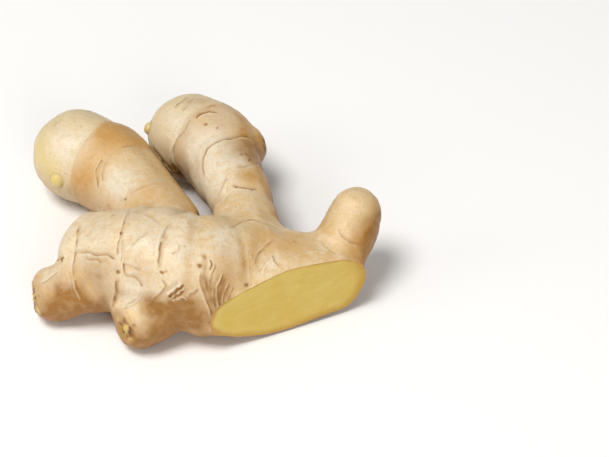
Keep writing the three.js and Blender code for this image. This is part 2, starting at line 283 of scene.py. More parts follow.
SEAMS = {
    "first ring's edge": (0.8, (78, 246), (73, 256), (70, 268)),
    "second ring's edge": (0.7, (121, 237), (120, 246), (120, 256), (119, 264)),
    "second ring's scar": (0.9, (123, 257), (122, 266), (122, 274)),
    "third ring's edge": (0.6, (164, 226), (159, 238), (157, 250), (155, 264)),
    "front knob's rim": (0.8, (143, 293), (138, 300), (130, 305), (121, 308)),
    "left finger's first ring": (
        0.5, (108, 113), (100, 124), (91, 132), (83, 142), (76, 153), (71, 166), (70, 178), (71, 190),
    ),
    "right finger's sheath": (0.6, (196, 112), (187, 121), (178, 133), (172, 146), (169, 158), (170, 166)),
    "skin over the cut": (0.7, (262, 274), (268, 262), (274, 257)),
    "skin right of it": (0.5, (284, 262), (292, 257), (304, 253), (318, 251), (326, 254)),
    "right finger's wrinkle one": (0.6, (212, 150), (210, 160), (211, 172)),
    "right finger's wrinkle two": (0.6, (220, 148), (216, 158), (214, 170)),
    "right finger's wrinkle three": (0.5, (231, 172), (226, 182), (224, 194)),
    "left knob's seam": (0.5, (66, 272), (69, 282), (72, 292)),
}
SCALE_EDGES = {
    "third ring's remnant": (0.6, (160, 273), (163, 270), (167, 268)),
    "ragged scale": (1.4, (167, 297), (170, 292), (173, 291), (176, 287), (179, 286), (183, 282)),
    "ragged scale's middle": (1.2, (171, 299), (174, 294), (178, 293), (180, 290), (185, 289)),
    "scale right of it": (0.6, (186, 297), (189, 292), (194, 291), (197, 287)),
    # Along the crevice under the right finger: partly painted shade, partly a ragged dry rim.
    "right finger's fringe": (
        0.8, (159, 157), (164, 165), (170, 170), (176, 177), (184, 183), (190, 190), (198, 197), (206, 206),
    ),
    "left knob's ridge": (0.5, (40, 283), (46, 279), (52, 274), (58, 271)),
    "ragged scale below": (0.6, (172, 303), (175, 299), (178, 300), (181, 296), (185, 298), (188, 301)),
    "torn skin": (0.9, (222, 311), (228, 308), (234, 303), (241, 296)),
    "torn skin's end": (0.6, (214, 319), (219, 315)),
}
STRANDS = {
    "fibre one": (1.1, (209, 259), (210, 264), (208, 270)),
    "fibre two": (0.6, (214, 262), (213, 268), (210, 276), (208, 286), (210, 294)),
    "fibre three": (1.3, (223, 272), (220, 280), (217, 287), (216, 294), (218, 303), (219, 314)),
    "fibre four": (0.8, (229, 282), (226, 289), (223, 297), (222, 306)),
    "fibre five": (0.4, (204, 276), (205, 286), (208, 296), (212, 305)),
    "fibre six": (0.5, (233, 287), (230, 293), (227, 300)),
    "fibre seven": (0.5, (213, 288), (212, 298), (215, 309)),
}
BANDS = {
    "between ring and bump": (0.6, (119, 274), (118, 284), (117, 294), (115, 304)),
    "in the fibres": (0.9, (206, 252), (205, 262), (204, 274), (207, 288), (212, 300), (217, 310)),
    "right of the fibres": (0.7, (226, 276), (222, 286), (220, 296), (222, 306)),
    "among the fibres": (0.8, (232, 285), (229, 293), (228, 302)),
    "strip over the cut": (0.7, (251, 266), (248, 275), (247, 286)),
    "right of the arc": (0.5, (268, 227), (276, 230), (286, 234)),
    # Painted shade where the front knob meets the body.
    "right of the front knob": (0.9, (170, 298), (173, 308), (175, 318), (177, 326)),
    # Partly painted shade round the raised flap of the ragged scale, partly its brown dry skin.
    "of the ragged scale": (0.9, (172, 293), (178, 291), (183, 288)),
    "under the ragged scale": (0.8, (176, 304), (183, 303), (188, 298)),
    "by the left knob": (0.9, (75, 288), (79, 297), (84, 303)),
    "right finger's dash": (0.8, (196, 116), (203, 112), (211, 110)),
    # Partly painted shade along the crevice under the right finger, partly its dark specks.
    "right finger's edge": (0.7, (160, 163), (168, 172), (178, 181), (190, 192), (202, 203), (210, 209)),
    "right finger's grey crack": (0.6, (182, 112), (189, 103), (197, 96), (206, 93)),
    "beside the second ring": (0.5, (125, 238), (123, 250), (122, 262)),
    "beside the third ring": (0.4, (167, 232), (163, 246), (161, 262)),
    "bump's end": (1.0, (260, 136), (264, 142), (264, 150)),
    # Partly painted shade round the raised flap of the ragged scale, partly its brown dry skin.
    "over the ragged scale": (0.9, (168, 292), (173, 286), (179, 281)),
    "under the ragged flap": (1.0, (170, 299), (176, 296), (182, 291), (187, 288)),
}
# Small marks: pixel, radius in millimetres and darkness.
SPOTS = {
    "ring one, upper": ((78, 231), 0.4, 0.7),
    "ring one, lower": ((77, 242), 0.35, 0.6),
    "ring two, upper": ((121, 233), 0.45, 0.75),
    "ring two, scar": ((118, 272), 0.5, 0.7),
    "ring three, scar": ((161, 272), 0.6, 0.6),
    "ring four, blob": ((200, 266), 0.7, 0.7),
    "ring four, top": ((205, 256), 0.9, 0.4),
    "scale's dark eye": ((170, 296), 0.7, 0.95),
    "under the scale": ((182, 304), 0.6, 0.5),
    "body's corner": ((178, 325), 1.0, 0.9),
    "cut's brown tip": ((211, 322), 0.7, 0.9),
    "left knob's corner, upper": ((83, 300), 0.7, 0.8),
    "left knob's corner, lower": ((81, 309), 0.7, 0.9),
    "left knob's blob": ((62, 260), 0.5, 0.7),
    "body top, one": ((109, 206), 0.7, 0.5),
    "body top, two": ((106, 211), 0.45, 0.7),
    "body top, three": ((113, 215), 0.45, 0.5),
    "body top, four": ((125, 199), 0.35, 0.6),
    "body top, five": ((121, 200), 0.3, 0.45),
    "left finger, one": ((81, 127), 0.35, 0.4),
    "left finger, two": ((87, 140), 0.3, 0.35),
    "left finger, three": ((139, 154), 0.35, 0.4),
    "right finger, grey": ((189, 101), 0.8, 0.3),
    "right finger, dash end": ((197, 117), 0.5, 0.6),
    "right finger, one": ((206, 124), 0.4, 0.6),
    "right finger, two": ((217, 128), 0.4, 0.7),
    "right finger, lens": ((242, 155), 0.45, 0.45),
    "right finger, lens low": ((249, 160), 0.4, 0.45),
    "right finger, low one": ((236, 187), 0.45, 0.7),
    "right finger, low two": ((252, 190), 0.45, 0.6),
    "finger's edge, one": ((163, 160), 0.45, 0.8),
    "finger's edge, two": ((171, 174), 0.45, 0.8),
    "finger's edge, three": ((183, 187), 0.4, 0.7),
    "over the cut": ((247, 285), 0.5, 0.7),
    # Painted shadow deep in the crevice between the fingers.
    "crevice's dark eye, top": ((175, 168), 1.4, 1.3),
    "crevice's dark eye": ((181, 174), 2.2, 1.5),
    "crevice's dark eye, low": ((186, 180), 1.8, 1.5),
    # Painted shade where the front knob meets the body.
    "under the front knob's side": ((178, 318), 1.2, 0.5),
    "left knob's end, one": ((32, 294), 0.5, 0.9),
    "left knob's end, two": ((35, 300), 0.6, 0.95),
    "left knob's end, three": ((32, 304), 0.4, 0.7),
    "left knob's end, four": ((39, 296), 0.35, 0.6),
    "left knob's end, five": ((41, 304), 0.35, 0.6),
    "front knob's end, one": ((123, 322), 0.5, 0.7),
    "front knob's end, two": ((128, 329), 0.45, 0.8),
    "front knob's end, three": ((134, 325), 0.4, 0.6),
    "front knob's end, four": ((121, 331), 0.4, 0.6),
    "front knob's end, five": ((131, 335), 0.35, 0.6),
}
# Broad soft patches: pixel, radius in millimetres, mask and strength.
PATCHES = {
    "left knob's brown": ((62, 288), 5.4, "stain", 0.55),
    "left knob's brown, low": ((56, 303), 5.0, "stain", 0.4),
    # Painted shade on the front knob's side away from the light, over its own brown.
    "front knob's side": ((164, 312), 6.0, "stain", 0.75),
    "front knob's side, top": ((152, 305), 3.6, "stain", 0.35),
    # Painted shade on the body's underside.
    "low body": ((190, 318), 6.5, "stain", 0.75),
    "low body, left": ((100, 305), 5.5, "stain", 0.3),
    "fibre zone": ((214, 288), 6.5, "stain", 0.35),
    "below the wavy crease": ((96, 276), 8.0, "stain", 0.55),
    "left of the body, low": ((140, 272), 5.0, "stain", 0.2),
    "left of the fourth ring": ((185, 300), 5.0, "stain", 0.3),
    # Painted highlights on the body and the front bump.
    "body's shine, one": ((100, 238), 6.0, "shine", 0.6),
    "body's shine, two": ((143, 240), 7.0, "shine", 0.7),
    "body's shine, three": ((183, 250), 6.0, "shine", 0.45),
    "front bump's shine": ((135, 287), 2.8, "shine", 0.9),
    "shoulder's tan": ((262, 235), 6.0, "tan", 0.5),
    "over the cut, tan": ((292, 246), 6.0, "tan", 0.55),
    "over the cut, pale": ((270, 262), 3.6, "bleach", 0.5),
    # Painted shade on the shoot's side away from the light.
    "shoot's side": ((374, 238), 8.0, "stain", 0.9),
    # Painted highlights on the left finger.
    "left finger's shine": ((67, 146), 8.0, "shine", 0.95),
    "left finger's other shine": ((121, 182), 8.0, "shine", 1.0),
    "left finger's low tan": ((84, 180), 8.0, "tan", 0.6),
    # Painted shade on the left finger's edge by the crevice.
    "left finger's dark edge": ((146, 141), 4.5, "stain", 0.35),
    "left finger's back": ((117, 131), 9.0, "tan", 0.9),
    "left finger's yellow": ((38, 147), 6.0, "bud", 0.5),
    "left finger's yellow, low": ((51, 169), 5.0, "bud", 0.4),
    "left finger's yellow, top": ((50, 124), 3.0, "bud", 0.2),
    # Painted shade on the right finger's side away from the light.
    "right finger's side": ((254, 152), 7.0, "stain", 0.75),
    "right finger's side, low": ((254, 176), 6.0, "tan", 0.9),
    "right finger's side, high": ((242, 140), 6.0, "tan", 0.6),
    "right finger's top": ((212, 100), 6.0, "tan", 0.7),
    # Painted highlights on the right finger.
    "right finger's shine": ((198, 144), 8.0, "shine", 1.0),
    "right finger's tip shine": ((174, 124), 7.0, "shine", 0.9),
    "right finger's lens": ((213, 165), 6.0, "shine", 0.9),
    "right finger's lens, brown": ((243, 152), 7.0, "stain", 0.35),
    "right finger's green eye": ((166, 165), 1.2, "bud", 0.6),
    "left knob's yellow": ((38, 311), 1.3, "bud", 0.8),
    "front knob's yellow, left": ((118, 319), 1.2, "bud", 0.6),
    "front knob's yellow, right": ((132, 313), 1.1, "bud", 0.4),
    # Partly painted highlights on the knobs' tops and the shoulder, partly paler dry skin.
    "left knob's top": ((50, 274), 4.0, "bleach", 0.8),
    "front knob's top": ((128, 300), 3.5, "bleach", 0.5),
    "right of the fourth ring": ((232, 256), 7.0, "bleach", 0.8),
    "shoulder's shine": ((222, 236), 6.0, "bleach", 0.4),
    "right finger's grey top": ((200, 101), 3.0, "stain", 0.25),
    "wrinkles by the fibres": ((213, 285), 5.5, "rough", 0.8),
    "wrinkles of the low body": ((190, 315), 6.0, "rough", 0.9),
    "wrinkles of the scar": ((122, 268), 2.6, "rough", 0.9),
    "wrinkles of the scale": ((176, 293), 3.2, "rough", 0.8),
    "wrinkles of the left knob": ((60, 292), 5.0, "rough", 0.7),
    "wrinkles of the front knob": ((152, 306), 4.5, "rough", 0.5),
    "wrinkles of the lens": ((238, 155), 5.0, "rough", 0.6),
    "wrinkles over the cut": ((262, 262), 5.0, "rough", 0.4),
}


def length(name, description, default, least, most):
    return bpy.props.FloatProperty(
        name=name, description=description, default=default, min=least, max=most, unit="LENGTH", precision=5
    )


def setting(name, description, default, unit="NONE"):
    return bpy.props.FloatProperty(name=name, description=description, default=default, min=0, unit=unit)


def tint(name, description, *default):
    return bpy.props.FloatVectorProperty(
        name=name, description=description, subtype="COLOR", size=3, default=default, min=0, max=1
    )


class GingerForm(bpy.types.PropertyGroup):
    """Sizes of the root's skin"""

    voxel: length(
        "Skin Mesh", "Spacing of the skin's vertices, halved where the photograph shows the skin",
        1.0 * MM, 0.6 * MM, 3 * MM,
    )
    crease_depth: length("Crease Depth", "How deep the thin line of a ring cuts", 0.16 * MM, 0, 1 * MM)
    lip_height: length(
        "Scale Edge Height", "How far the dry edge of an old scale stands out", 0.45 * MM, 0, 1 * MM
    )
    wrinkle_height: length(
        "Wrinkle Height", "Height of the skin's fine wrinkles", 0.09 * MM, 0, 0.5 * MM
    )
    seed: bpy.props.IntProperty(
        name="Seed", description="Picks the pattern of the wrinkles and of the marks on the unseen sides",
        default=7, min=0,
    )


class GingerSkinColours(bpy.types.PropertyGroup):
    """Colours of the skin"""

    cream: tint("Cream", "Clean skin", 0.72, 0.54, 0.30)
    # Tan also paints shade on the sides away from the light.
    tan: tint("Tan", "Skin under an old sheath", 0.56, 0.31, 0.09)
    pale: tint("Pale Tip", "Young skin at the tips", 0.70, 0.575, 0.36)
    # Bleached also paints the highlights and sheen where the skin faces the light.
    bleached_and_sheen: tint("Bleached", "Dry, greyish skin on the body's top", 0.74, 0.66, 0.51)
    # Brown also paints shade on the undersides, on the sides away from the light and in crevices.
    brown: tint("Brown", "Stained skin", 0.31, 0.135, 0.016)
    # Dark also paints the shadow deep in the crevice between the fingers.
    dark: tint("Dark", "Creases and specks", 0.12, 0.045, 0.014)
    bud: tint("Bud", "Buds and their yellow surroundings", 0.68, 0.54, 0.17)


class GingerFleshColours(bpy.types.PropertyGroup):
    """Colours of the cut face"""

    flesh: tint("Flesh", "Most of the cut face", 0.635, 0.445, 0.09)
    light: tint("Light Flesh", "Paler, greener flesh towards the rim", 0.66, 0.51, 0.145)
    band: tint("Band", "Orange band under the skin", 0.48, 0.27, 0.035)
    rind: tint("Rind", "Edge of the skin round the cut", 0.50, 0.28, 0.08)


class GingerStage(bpy.types.PropertyGroup):
    """Camera, floor and lights"""

    elevation: setting(
        "Camera Elevation", "Camera's angle above the floor", math.radians(40), "ROTATION"
    )
    distance: setting(
        "Camera Distance", "From the camera to the point it looks at", 0.577, "LENGTH"
    )
    target: bpy.props.FloatVectorProperty(
        name="Camera Target", description="Point that the camera looks at", subtype="TRANSLATION", size=3,
        default=(0.0339, -0.0091, 0.015),
    )
    lens: setting("Focal Length", "Camera's focal length in millimetres", 105, "CAMERA")
    sensor: setting("Sensor Width", "Camera's sensor width in millimetres", 36, "CAMERA")
    floor_colour: tint("Floor", "Colour of the floor", 0.93, 0.925, 0.92)
    key_power: setting("Key Light", "Power of the main soft light", 20.0, "POWER")
    front_power: setting("Front Light", "Power of the soft light from the front", 7.6, "POWER")
    left_power: setting("Left Light", "Power of the soft light from the left", 3.0, "POWER")
    sky: setting("Sky", "Strength of the even light from all round", 0.3)


# Form: a distance field round the limbs, in millimetres


def unit(vector):
    vector = np.asarray(vector, float)
    return vector / np.linalg.norm(vector)


def lengths(vectors):
    return np.linalg.norm(vectors, axis=1)


def curve(points, place):
    """The smooth curve through a row of points at places along the row, with its first two derivatives."""
    row = np.vstack([2 * points[0] - points[1], points, 2 * points[-1] - points[-2]])
    span = np.clip(place.astype(int), 0, len(points) - 2)
    t = (place - span)[:, None]
    before, start, end, after = row[span], row[span + 1], row[span + 2], row[span + 3]
    out, back = (end - before) / 2, (after - start) / 2
    square = 3 * end - 3 * start - 2 * out - back
    cube = 2 * start - 2 * end + out + back
    return (
        start + out * t + square * t**2 + cube * t**3,
        out + 2 * square * t + 3 * cube * t**2,
        2 * square + 6 * cube * t,
    )


def stations(balls):
    """Places in the row, points with radii, and distances from the root, at stations along a limb's axis."""
    last = len(balls) - 1
    fine = curve(balls, np.linspace(0, last, AXIS_SAMPLES))[0]
    full = lengths(np.diff(fine[:, :3], axis=0)).sum()
    place = np.linspace(0, last, math.ceil(full / STATION_STEP) + 1)
    row = curve(balls, place)[0]
    steps = lengths(np.diff(row[:, :3], axis=0))
    return place, row, np.concatenate([[0], np.cumsum(steps)])


LIMB_NAMES = list(LIMBS)
BALLS = {name: np.array(limb["balls"], float) for name, limb in LIMBS.items()}
AXES = {name: stations(balls) for name, balls in BALLS.items()}


def near_limb(name, p):
    """Which points are close enough to a limb for it to matter."""
    row = AXES[name][1]
    low = (row[:, :3] - row[:, 3:]).min(0) - NEAR
    high = (row[:, :3] + row[:, 3:]).max(0) + NEAR
    return ((p > low) & (p < high)).all(1)


def sleeve(name, p):
    """Distance from each point to a limb's sleeve, how far along it is, its place across the axis, and the
    axis's course there."""
    place, row, along = AXES[name]
    start, run = row[:-1, :3], np.diff(row[:, :3], axis=0)
    rel = p[:, None] - start[None]
    t = np.clip(np.einsum("nsk,sk->ns", rel, run) / (run * run).sum(1), 0, 1)
    distance = np.linalg.norm(rel - t[..., None] * run, axis=2) - (row[:-1, 3] + t * np.diff(row[:, 3]))
    best = distance.argmin(1)
    share = t[np.arange(len(p)), best]
    spot = place[best] + share * (place[1] - place[0])
    for _ in range(SLEEVE_STEPS):
        here, slope, bend = (part[:, :3] for part in curve(BALLS[name], spot))
        off = p - here
        flat = (slope * slope).sum(1)
        stiff = np.maximum(flat - (off * bend).sum(1), 0.3 * flat)
        spot = np.clip(spot + (off * slope).sum(1) / stiff, 0, place[-1])
    here, slope, _ = curve(BALLS[name], spot)
    off = p - here[:, :3]
    course = slope[:, :3] / lengths(slope[:, :3])[:, None]
    beyond = (off * course).sum(1)
    past = np.where(spot <= 0, np.minimum(beyond, 0), 0)
    past += np.where(spot >= place[-1], np.maximum(beyond, 0), 0)
    return lengths(off) - here[:, 3], np.interp(spot, place, along) + past, off, course


def waves(p, size):
    """Soft unevenness from a few crossed waves, from -1 to 1."""
    k = 2 * math.pi / size
    x, y, z = p.T
    first = np.sin(k * (0.8 * x + 0.6 * y) + 1.3) * np.sin(k * (z - 0.4 * x) + 0.4)
    second = np.sin(k * (0.7 * y - 0.7 * z) + 2.1) * np.sin(k * (0.9 * x + 0.3 * z) + 5.2)
    return (first + second) / 2


def lattice_noise(p, size, seed):
    """Smooth random values from -1 to 1, about one swing each size."""
    q = p / size + seed * 17.3
    base = np.floor(q).astype(np.int64)
    t = q - base
    t = t * t * (3 - 2 * t)
    total = np.zeros(len(p))
    *across, apart, stir = SCATTER
    for corner in range(8):
        offset = np.array([corner & 1, (corner >> 1) & 1, corner >> 2])
        mixed = ((base + offset) @ np.array(across) + seed * apart) & 0xFFFFFFFF
        mixed = ((mixed ^ (mixed >> 13)) * stir) & 0xFFFFFFFF
        value = ((mixed ^ (mixed >> 16)) & 0xFFFF) / 32767.5 - 1
        total += np.prod(np.where(offset == 1, t, 1 - t), axis=1) * value
    return total


def blend_min(a, b, reach):
    h = np.maximum(0, reach - np.abs(a - b)) / reach
    return np.minimum(a, b) - h * h * reach / 4


def blend_max(a, b, reach):
    return -blend_min(-a, -b, reach)


def limb_field(name, p):
    """Distance to one limb's own skin, with its rings and its blunt end."""
    limb = LIMBS[name]
    distance, along, _, _ = sleeve(name, p)
    wander = RING_WANDER * waves(p, WANDER_SIZE)
    for place, depth in limb["rings"]:
        distance = distance + depth * bump(along + wander - place, RING_REACH)
    if "blunt" in limb:
        towards, reach = limb["blunt"]
        past = (p - BALLS[name][-1, :3]) @ np.array(towards) - reach
        distance = blend_max(distance, past, BLUNT_ROUNDING)
    return distance


def skin_field(p):
    """Distance to the smooth skin, below zero inside."""
    bare = {}
    for name in LIMBS:
        near = near_limb(name, p)
        bare[name] = np.full(len(p), FAR)
        if near.any():
            bare[name][near] = limb_field(name, p[near])
    skin = bare["body"]
    for name, limb in LIMBS.items():
        if "parent" not in limb:
            continue
        own = bare[name]
        if "yields_to" in limb:
            own = blend_max(own, PRESS_GAP - bare[limb["yields_to"]], PRESS_ROUNDING)
        skin = np.minimum(skin, blend_min(own, bare[limb["parent"]], limb["blend"]))
    return skin - LUMP_HEIGHT * waves(p, LUMP_SIZE)


def in_parts(function, p):
    """A function of many points, worked out a part at a time."""
    return np.concatenate([function(p[i : i + PART_SIZE]) for i in range(0, len(p), PART_SIZE)])


def slopes(p, sides, step):
    """The skin's distance at each point, and how fast it grows towards each side."""
    here = in_parts(skin_field, p)
    return here, np.stack([in_parts(skin_field, p + step * side) - here for side in sides], 1) / step


def settle(p, rounds=1):
    """Moves points onto the skin and returns them with their outward directions."""
    for _ in range(rounds + 1):
        here, slope = slopes(p, np.eye(3), SLOPE_STEP)
        steep = np.maximum(0.2, (slope * slope).sum(1))
        p = p - np.clip((here / steep)[:, None] * slope, -LEAP, LEAP)
    return p, slope / lengths(slope)[:, None]


# Mesh


def ball_chain():
    """Overlapping balls along every limb, as one mesh to wrap the skin on."""
    mesh = bmesh.new()
    for name in LIMB_NAMES:
        for *place, radius in AXES[name][1] * MM:
            made = bmesh.ops.create_icosphere(mesh, subdivisions=3, radius=radius)
            bmesh.ops.translate(mesh, verts=made["verts"], vec=Vector(place))
    data = bpy.data.meshes.new("ball_chain")
    mesh.to_mesh(data)
    mesh.free()
    return data


def points_of(data):
    """A mesh's vertices, in millimetres."""
    points = np.empty(len(data.vertices) * 3)
    data.vertices.foreach_get("co", points)
    return points.reshape(-1, 3) / MM


def surface_tree(points, faces):
    return BVHTree.FromPolygons([tuple(p) for p in points], faces)


def wrapped(data, voxel):
    """One closed skin round overlapping closed surfaces: its vertices in millimetres and its faces."""
    chain = bpy.data.objects.new("ball_chain", data)
    bpy.context.collection.objects.link(chain)
    remesh = chain.modifiers.new("Wrap", "REMESH")
    remesh.mode = "VOXEL"
    remesh.voxel_size = voxel
    evaluated = chain.evaluated_get(bpy.context.evaluated_depsgraph_get())
    skin = bpy.data.meshes.new_from_object(evaluated)
    points, faces = points_of(skin), [tuple(face.vertices) for face in skin.polygons]
    bpy.data.objects.remove(chain)
    bpy.data.meshes.remove(data)
    bpy.data.meshes.remove(skin)
    return points, faces


def evened(points, faces, rounds=3):
    """Points drawn towards the middle of their neighbours and back onto the skin."""
    quads = np.array([face for face in faces if len(face) == 4])
    start, end = np.vstack([quads[:, [i, (i + 1) % 4]] for i in range(4)]).T
    count = np.maximum(1, np.bincount(start, minlength=len(points)))
    for _ in range(rounds):
        middle = np.stack([
            np.bincount(start, weights=points[end, axis], minlength=len(points)) / count for axis in range(3)
        ], 1)
        points = 0.4 * points + 0.6 * middle
    return settle(points)[0]


def refined(points, faces, choose):
    """Splits the faces that choose picks from their middles and normals into four."""
    mesh = bmesh.new()
    verts = [mesh.verts.new(p) for p in points]
    for face in faces:
        mesh.faces.new([verts[i] for i in face])
    mesh.normal_update()
    middles = np.array([face.calc_center_median() for face in mesh.faces])
    normals = np.array([face.normal for face in mesh.faces])
    chosen = choose(middles, normals)
    picked = dict.fromkeys(edge for face, wanted in zip(mesh.faces, chosen) if wanted for edge in face.edges)
    bmesh.ops.subdivide_edges(mesh, edges=list(picked), cuts=1, use_grid_fill=True)
    mesh.verts.index_update()
    finer = np.array([vert.co[:] for vert in mesh.verts])
    finer_faces = [tuple(vert.index for vert in face.verts) for face in mesh.faces]
    mesh.free()
    return finer, finer_faces


def shown(tree, stage):
    """Picks the faces that the photograph shows."""
    eye = camera_place(stage)[0] / MM

    def choose(middles, normals):
        view = eye - middles
        view /= lengths(view)[:, None]
        open_to = (normals * view).sum(1) > GRAZING
        starts = middles + CLEARANCE * normals
        for i in np.flatnonzero(open_to):
            open_to[i] = tree.ray_cast(Vector(starts[i]), Vector(view[i]))[0] is None
        return open_to

    return choose


def marked(tree, stage):
    """Picks the faces that a thin mark crosses."""
    lines = [
        sighted(tree, stage, pixels)
        for table in (CREASES, SEAMS, SCALE_EDGES, STRANDS)
        for strength, *pixels in table.values()
        if strength > FAINT
    ]

    def choose(middles, normals):
        near = np.zeros(len(middles), bool)
        for line in lines:
            if len(line) > 1:
                low, high = line.min(0) - MARK_MARGIN, line.max(0) + MARK_MARGIN
                around = ((middles > low) & (middles < high)).all(1)
                near[around] |= along_line(middles[around], normals[around], line)[0] < MARK_REACH
        return near

    return choose


def camera_place(stage):
    """The camera's eye, and its right, up and backward directions."""
    back = np.array([0, -math.cos(stage.elevation), math.sin(stage.elevation)])
    up = np.array([0, math.sin(stage.elevation), math.cos(stage.elevation)])
    return np.array(stage.target) + back * stage.distance, np.array([1.0, 0, 0]), up, back


def sighted(tree, stage, pixels):
    """Points of the skin, in millimetres, that the photograph shows at these pixels."""
    eye, right, up, back = camera_place(stage)
    focal = stage.lens / stage.sensor * PHOTO_WIDTH
    points = []
    for u, v in pixels:
        ray = right * (u - PHOTO_WIDTH / 2) / focal - up * (v - PHOTO_HEIGHT / 2) / focal - back
        hit = tree.ray_cast(Vector(eye / MM), Vector(unit(ray)))[0]
        if hit is not None:
            points.append(tuple(hit))
    return np.array(points)


def along_line(p, normals, line):
    """Distance of each point to a line of points, its side of that line and its share along it."""
    best = np.full(len(p), 1e9)
    side = np.zeros(len(p))
    share = np.zeros(len(p))
    for i in range(len(line) - 1):
        start, run = line[i], line[i + 1] - line[i]
        t = np.clip((p - start) @ run / (run @ run), 0, 1)
        off = p - start - t[:, None] * run
        distance = lengths(off)
        nearer = distance < best
        best = np.where(nearer, distance, best)
        side = np.where(nearer, np.sign((np.cross(normals, run) * off).sum(1)), side)
        share = np.where(nearer, (i + t) / (len(line) - 1), share)
    return best, side, share


def bump(distance, width):
    return np.exp(-((distance / width) ** 2))


def smooth_step(low, high, value):
    t = np.clip((value - low) / (high - low), 0, 1)
    return t * t * (3 - 2 * t)


class Skin:
    """The skin's points with their relief and the masks that colour it, in millimetres."""

    # The stain and tan masks also carry painted shade, the bleach and shine masks painted highlights, and
    # the line mask the painted shadow deep in the crevice between the fingers.
    MASKS = ("line", "stain", "pale", "tan", "lift", "bleach", "shine", "bud", "speck", "rough", "grained")

    def __init__(self, points, normals, seed):
        self.points = points
        self.normals = normals
        self.seed = seed
        self.relief = np.zeros(len(points))
        self.masks = {name: np.zeros(len(points)) for name in self.MASKS}
        self.measure()
        self.masks["grained"][:] = self.clear

    def measure(self):
        """Which limb each point is on, how far along it is, its place in the limb's own grain, and how far
        it is from the seam with the next limb."""
        count = len(self.points)
        nearest = np.full(count, FAR)
        second = np.full(count, FAR)
        self.limb = np.zeros(count, int)
        self.along = np.zeros(count)
        self.grain = np.zeros((count, 3))
        for index, name in enumerate(LIMB_NAMES):
            near = np.flatnonzero(near_limb(name, self.points))
            for part in np.array_split(near, len(near) // PART_SIZE + 1):
                distance, along, off, run = sleeve(name, self.points[part])
                closer = distance < nearest[part]
                second[part] = np.where(closer, nearest[part], np.minimum(second[part], distance))
                nearest[part] = np.minimum(nearest[part], distance)
                rise = np.array([0, 0, 1.0]) - run * run[:, 2:3]
                rise /= lengths(rise)[:, None]
                level = np.cross(run, rise)
                grain = np.stack([(off * level).sum(1), (off * rise).sum(1), along], 1)
                won = part[closer]
                self.limb[won] = index
                self.along[won] = along[closer]
                self.grain[won] = grain[closer]
        self.clear = smooth_step(0.3, 3.0, second - nearest)

    def on(self, name):
        return self.limb == LIMB_NAMES.index(name)

    def noise(self, size, pick):
        """Smooth random values over the skin; pick tells one pattern from another."""
        return lattice_noise(self.points, size, self.seed + pick)

    def wander(self, pick):
        return 0.45 * self.noise(5, pick) + 0.4 * self.noise(1.8, pick + 1)

    def away(self, place):
        return lengths(self.points - np.array(place))

    def add(self, what, amount, where=slice(None)):
        """Adds to the relief, or to a mask, which stays between 0 and 1."""
        if what == "relief":
            self.relief[where] += amount
        else:
            self.masks[what][where] = np.clip(self.masks[what][where] + amount, 0, 1)


def ring_marks(skin, form, unseen):
    """The thin line and the raised edge of every scale ring on the sides that the photograph hides."""
    wander = RING_WANDER * waves(skin.points, WANDER_SIZE) + skin.wander(0)
    broken = smooth_step(-0.5, 0.4, skin.noise(7, 2))
    patchy = smooth_step(0.1, 0.6, skin.noise(8, 8))
    for name, limb in LIMBS.items():
        here = skin.on(name) * unseen * skin.clear
        for place, depth in limb["rings"]:
            off = skin.along + wander - place
            strength = here * broken * min(1, depth / 0.5)
            for what, amount, aside, width in (
                ("relief", -form.crease_depth / MM, 0, 0.4),
                ("relief", 0.16, 0.8, 0.5),
                ("line", 0.5, 0, 0.35),
                ("lift", 0.4, 0.75, 0.4),
            ):
                skin.add(what, amount * strength * bump(off - aside, width))
            skin.add("stain", 0.4 * here * patchy * bump(off, 2.0))
            skin.add("rough", here * patchy * bump(off, 3.0))
    for name, places in TIP_LINES.items():
        for place in places:
            off = skin.along + wander - place
            strength = skin.on(name) * unseen * broken
            skin.add("relief", 0.12 * strength * (bump(off - 0.5, 0.6) - bump(off, 0.3)))
            skin.add("line", 0.4 * strength * bump(off, 0.3))
            skin.add("stain", 0.3 * strength * patchy * bump(off, 1.2))
    faint = skin.clear * unseen * smooth_step(0.0, 0.5, skin.noise(12, 16))
    arcs = lattice_noise(skin.grain / np.array([11, 11, 6]), 1, skin.seed + 9)
    for level in FAINT_ARCS:
        skin.add("relief", -0.08 * faint * bump(arcs - level, 0.05))
        skin.add("line", 0.3 * faint * bump(arcs - level, 0.04))


def line_weights(skin, line, jitter, ends=0.12, reach=7.0):
    """Signed distance to a line, and a weight that fades at its ends, for the points near it."""
    low, high = line.min(0) - reach, line.max(0) + reach
    near = ((skin.points > low) & (skin.points < high)).all(1)
    distance, side, share = along_line(skin.points[near], skin.normals[near], line)
    weight = smooth_step(0, ends, share) * smooth_step(0, ends, 1 - share) * (distance < reach)
    return near, distance * side + jitter[near], weight


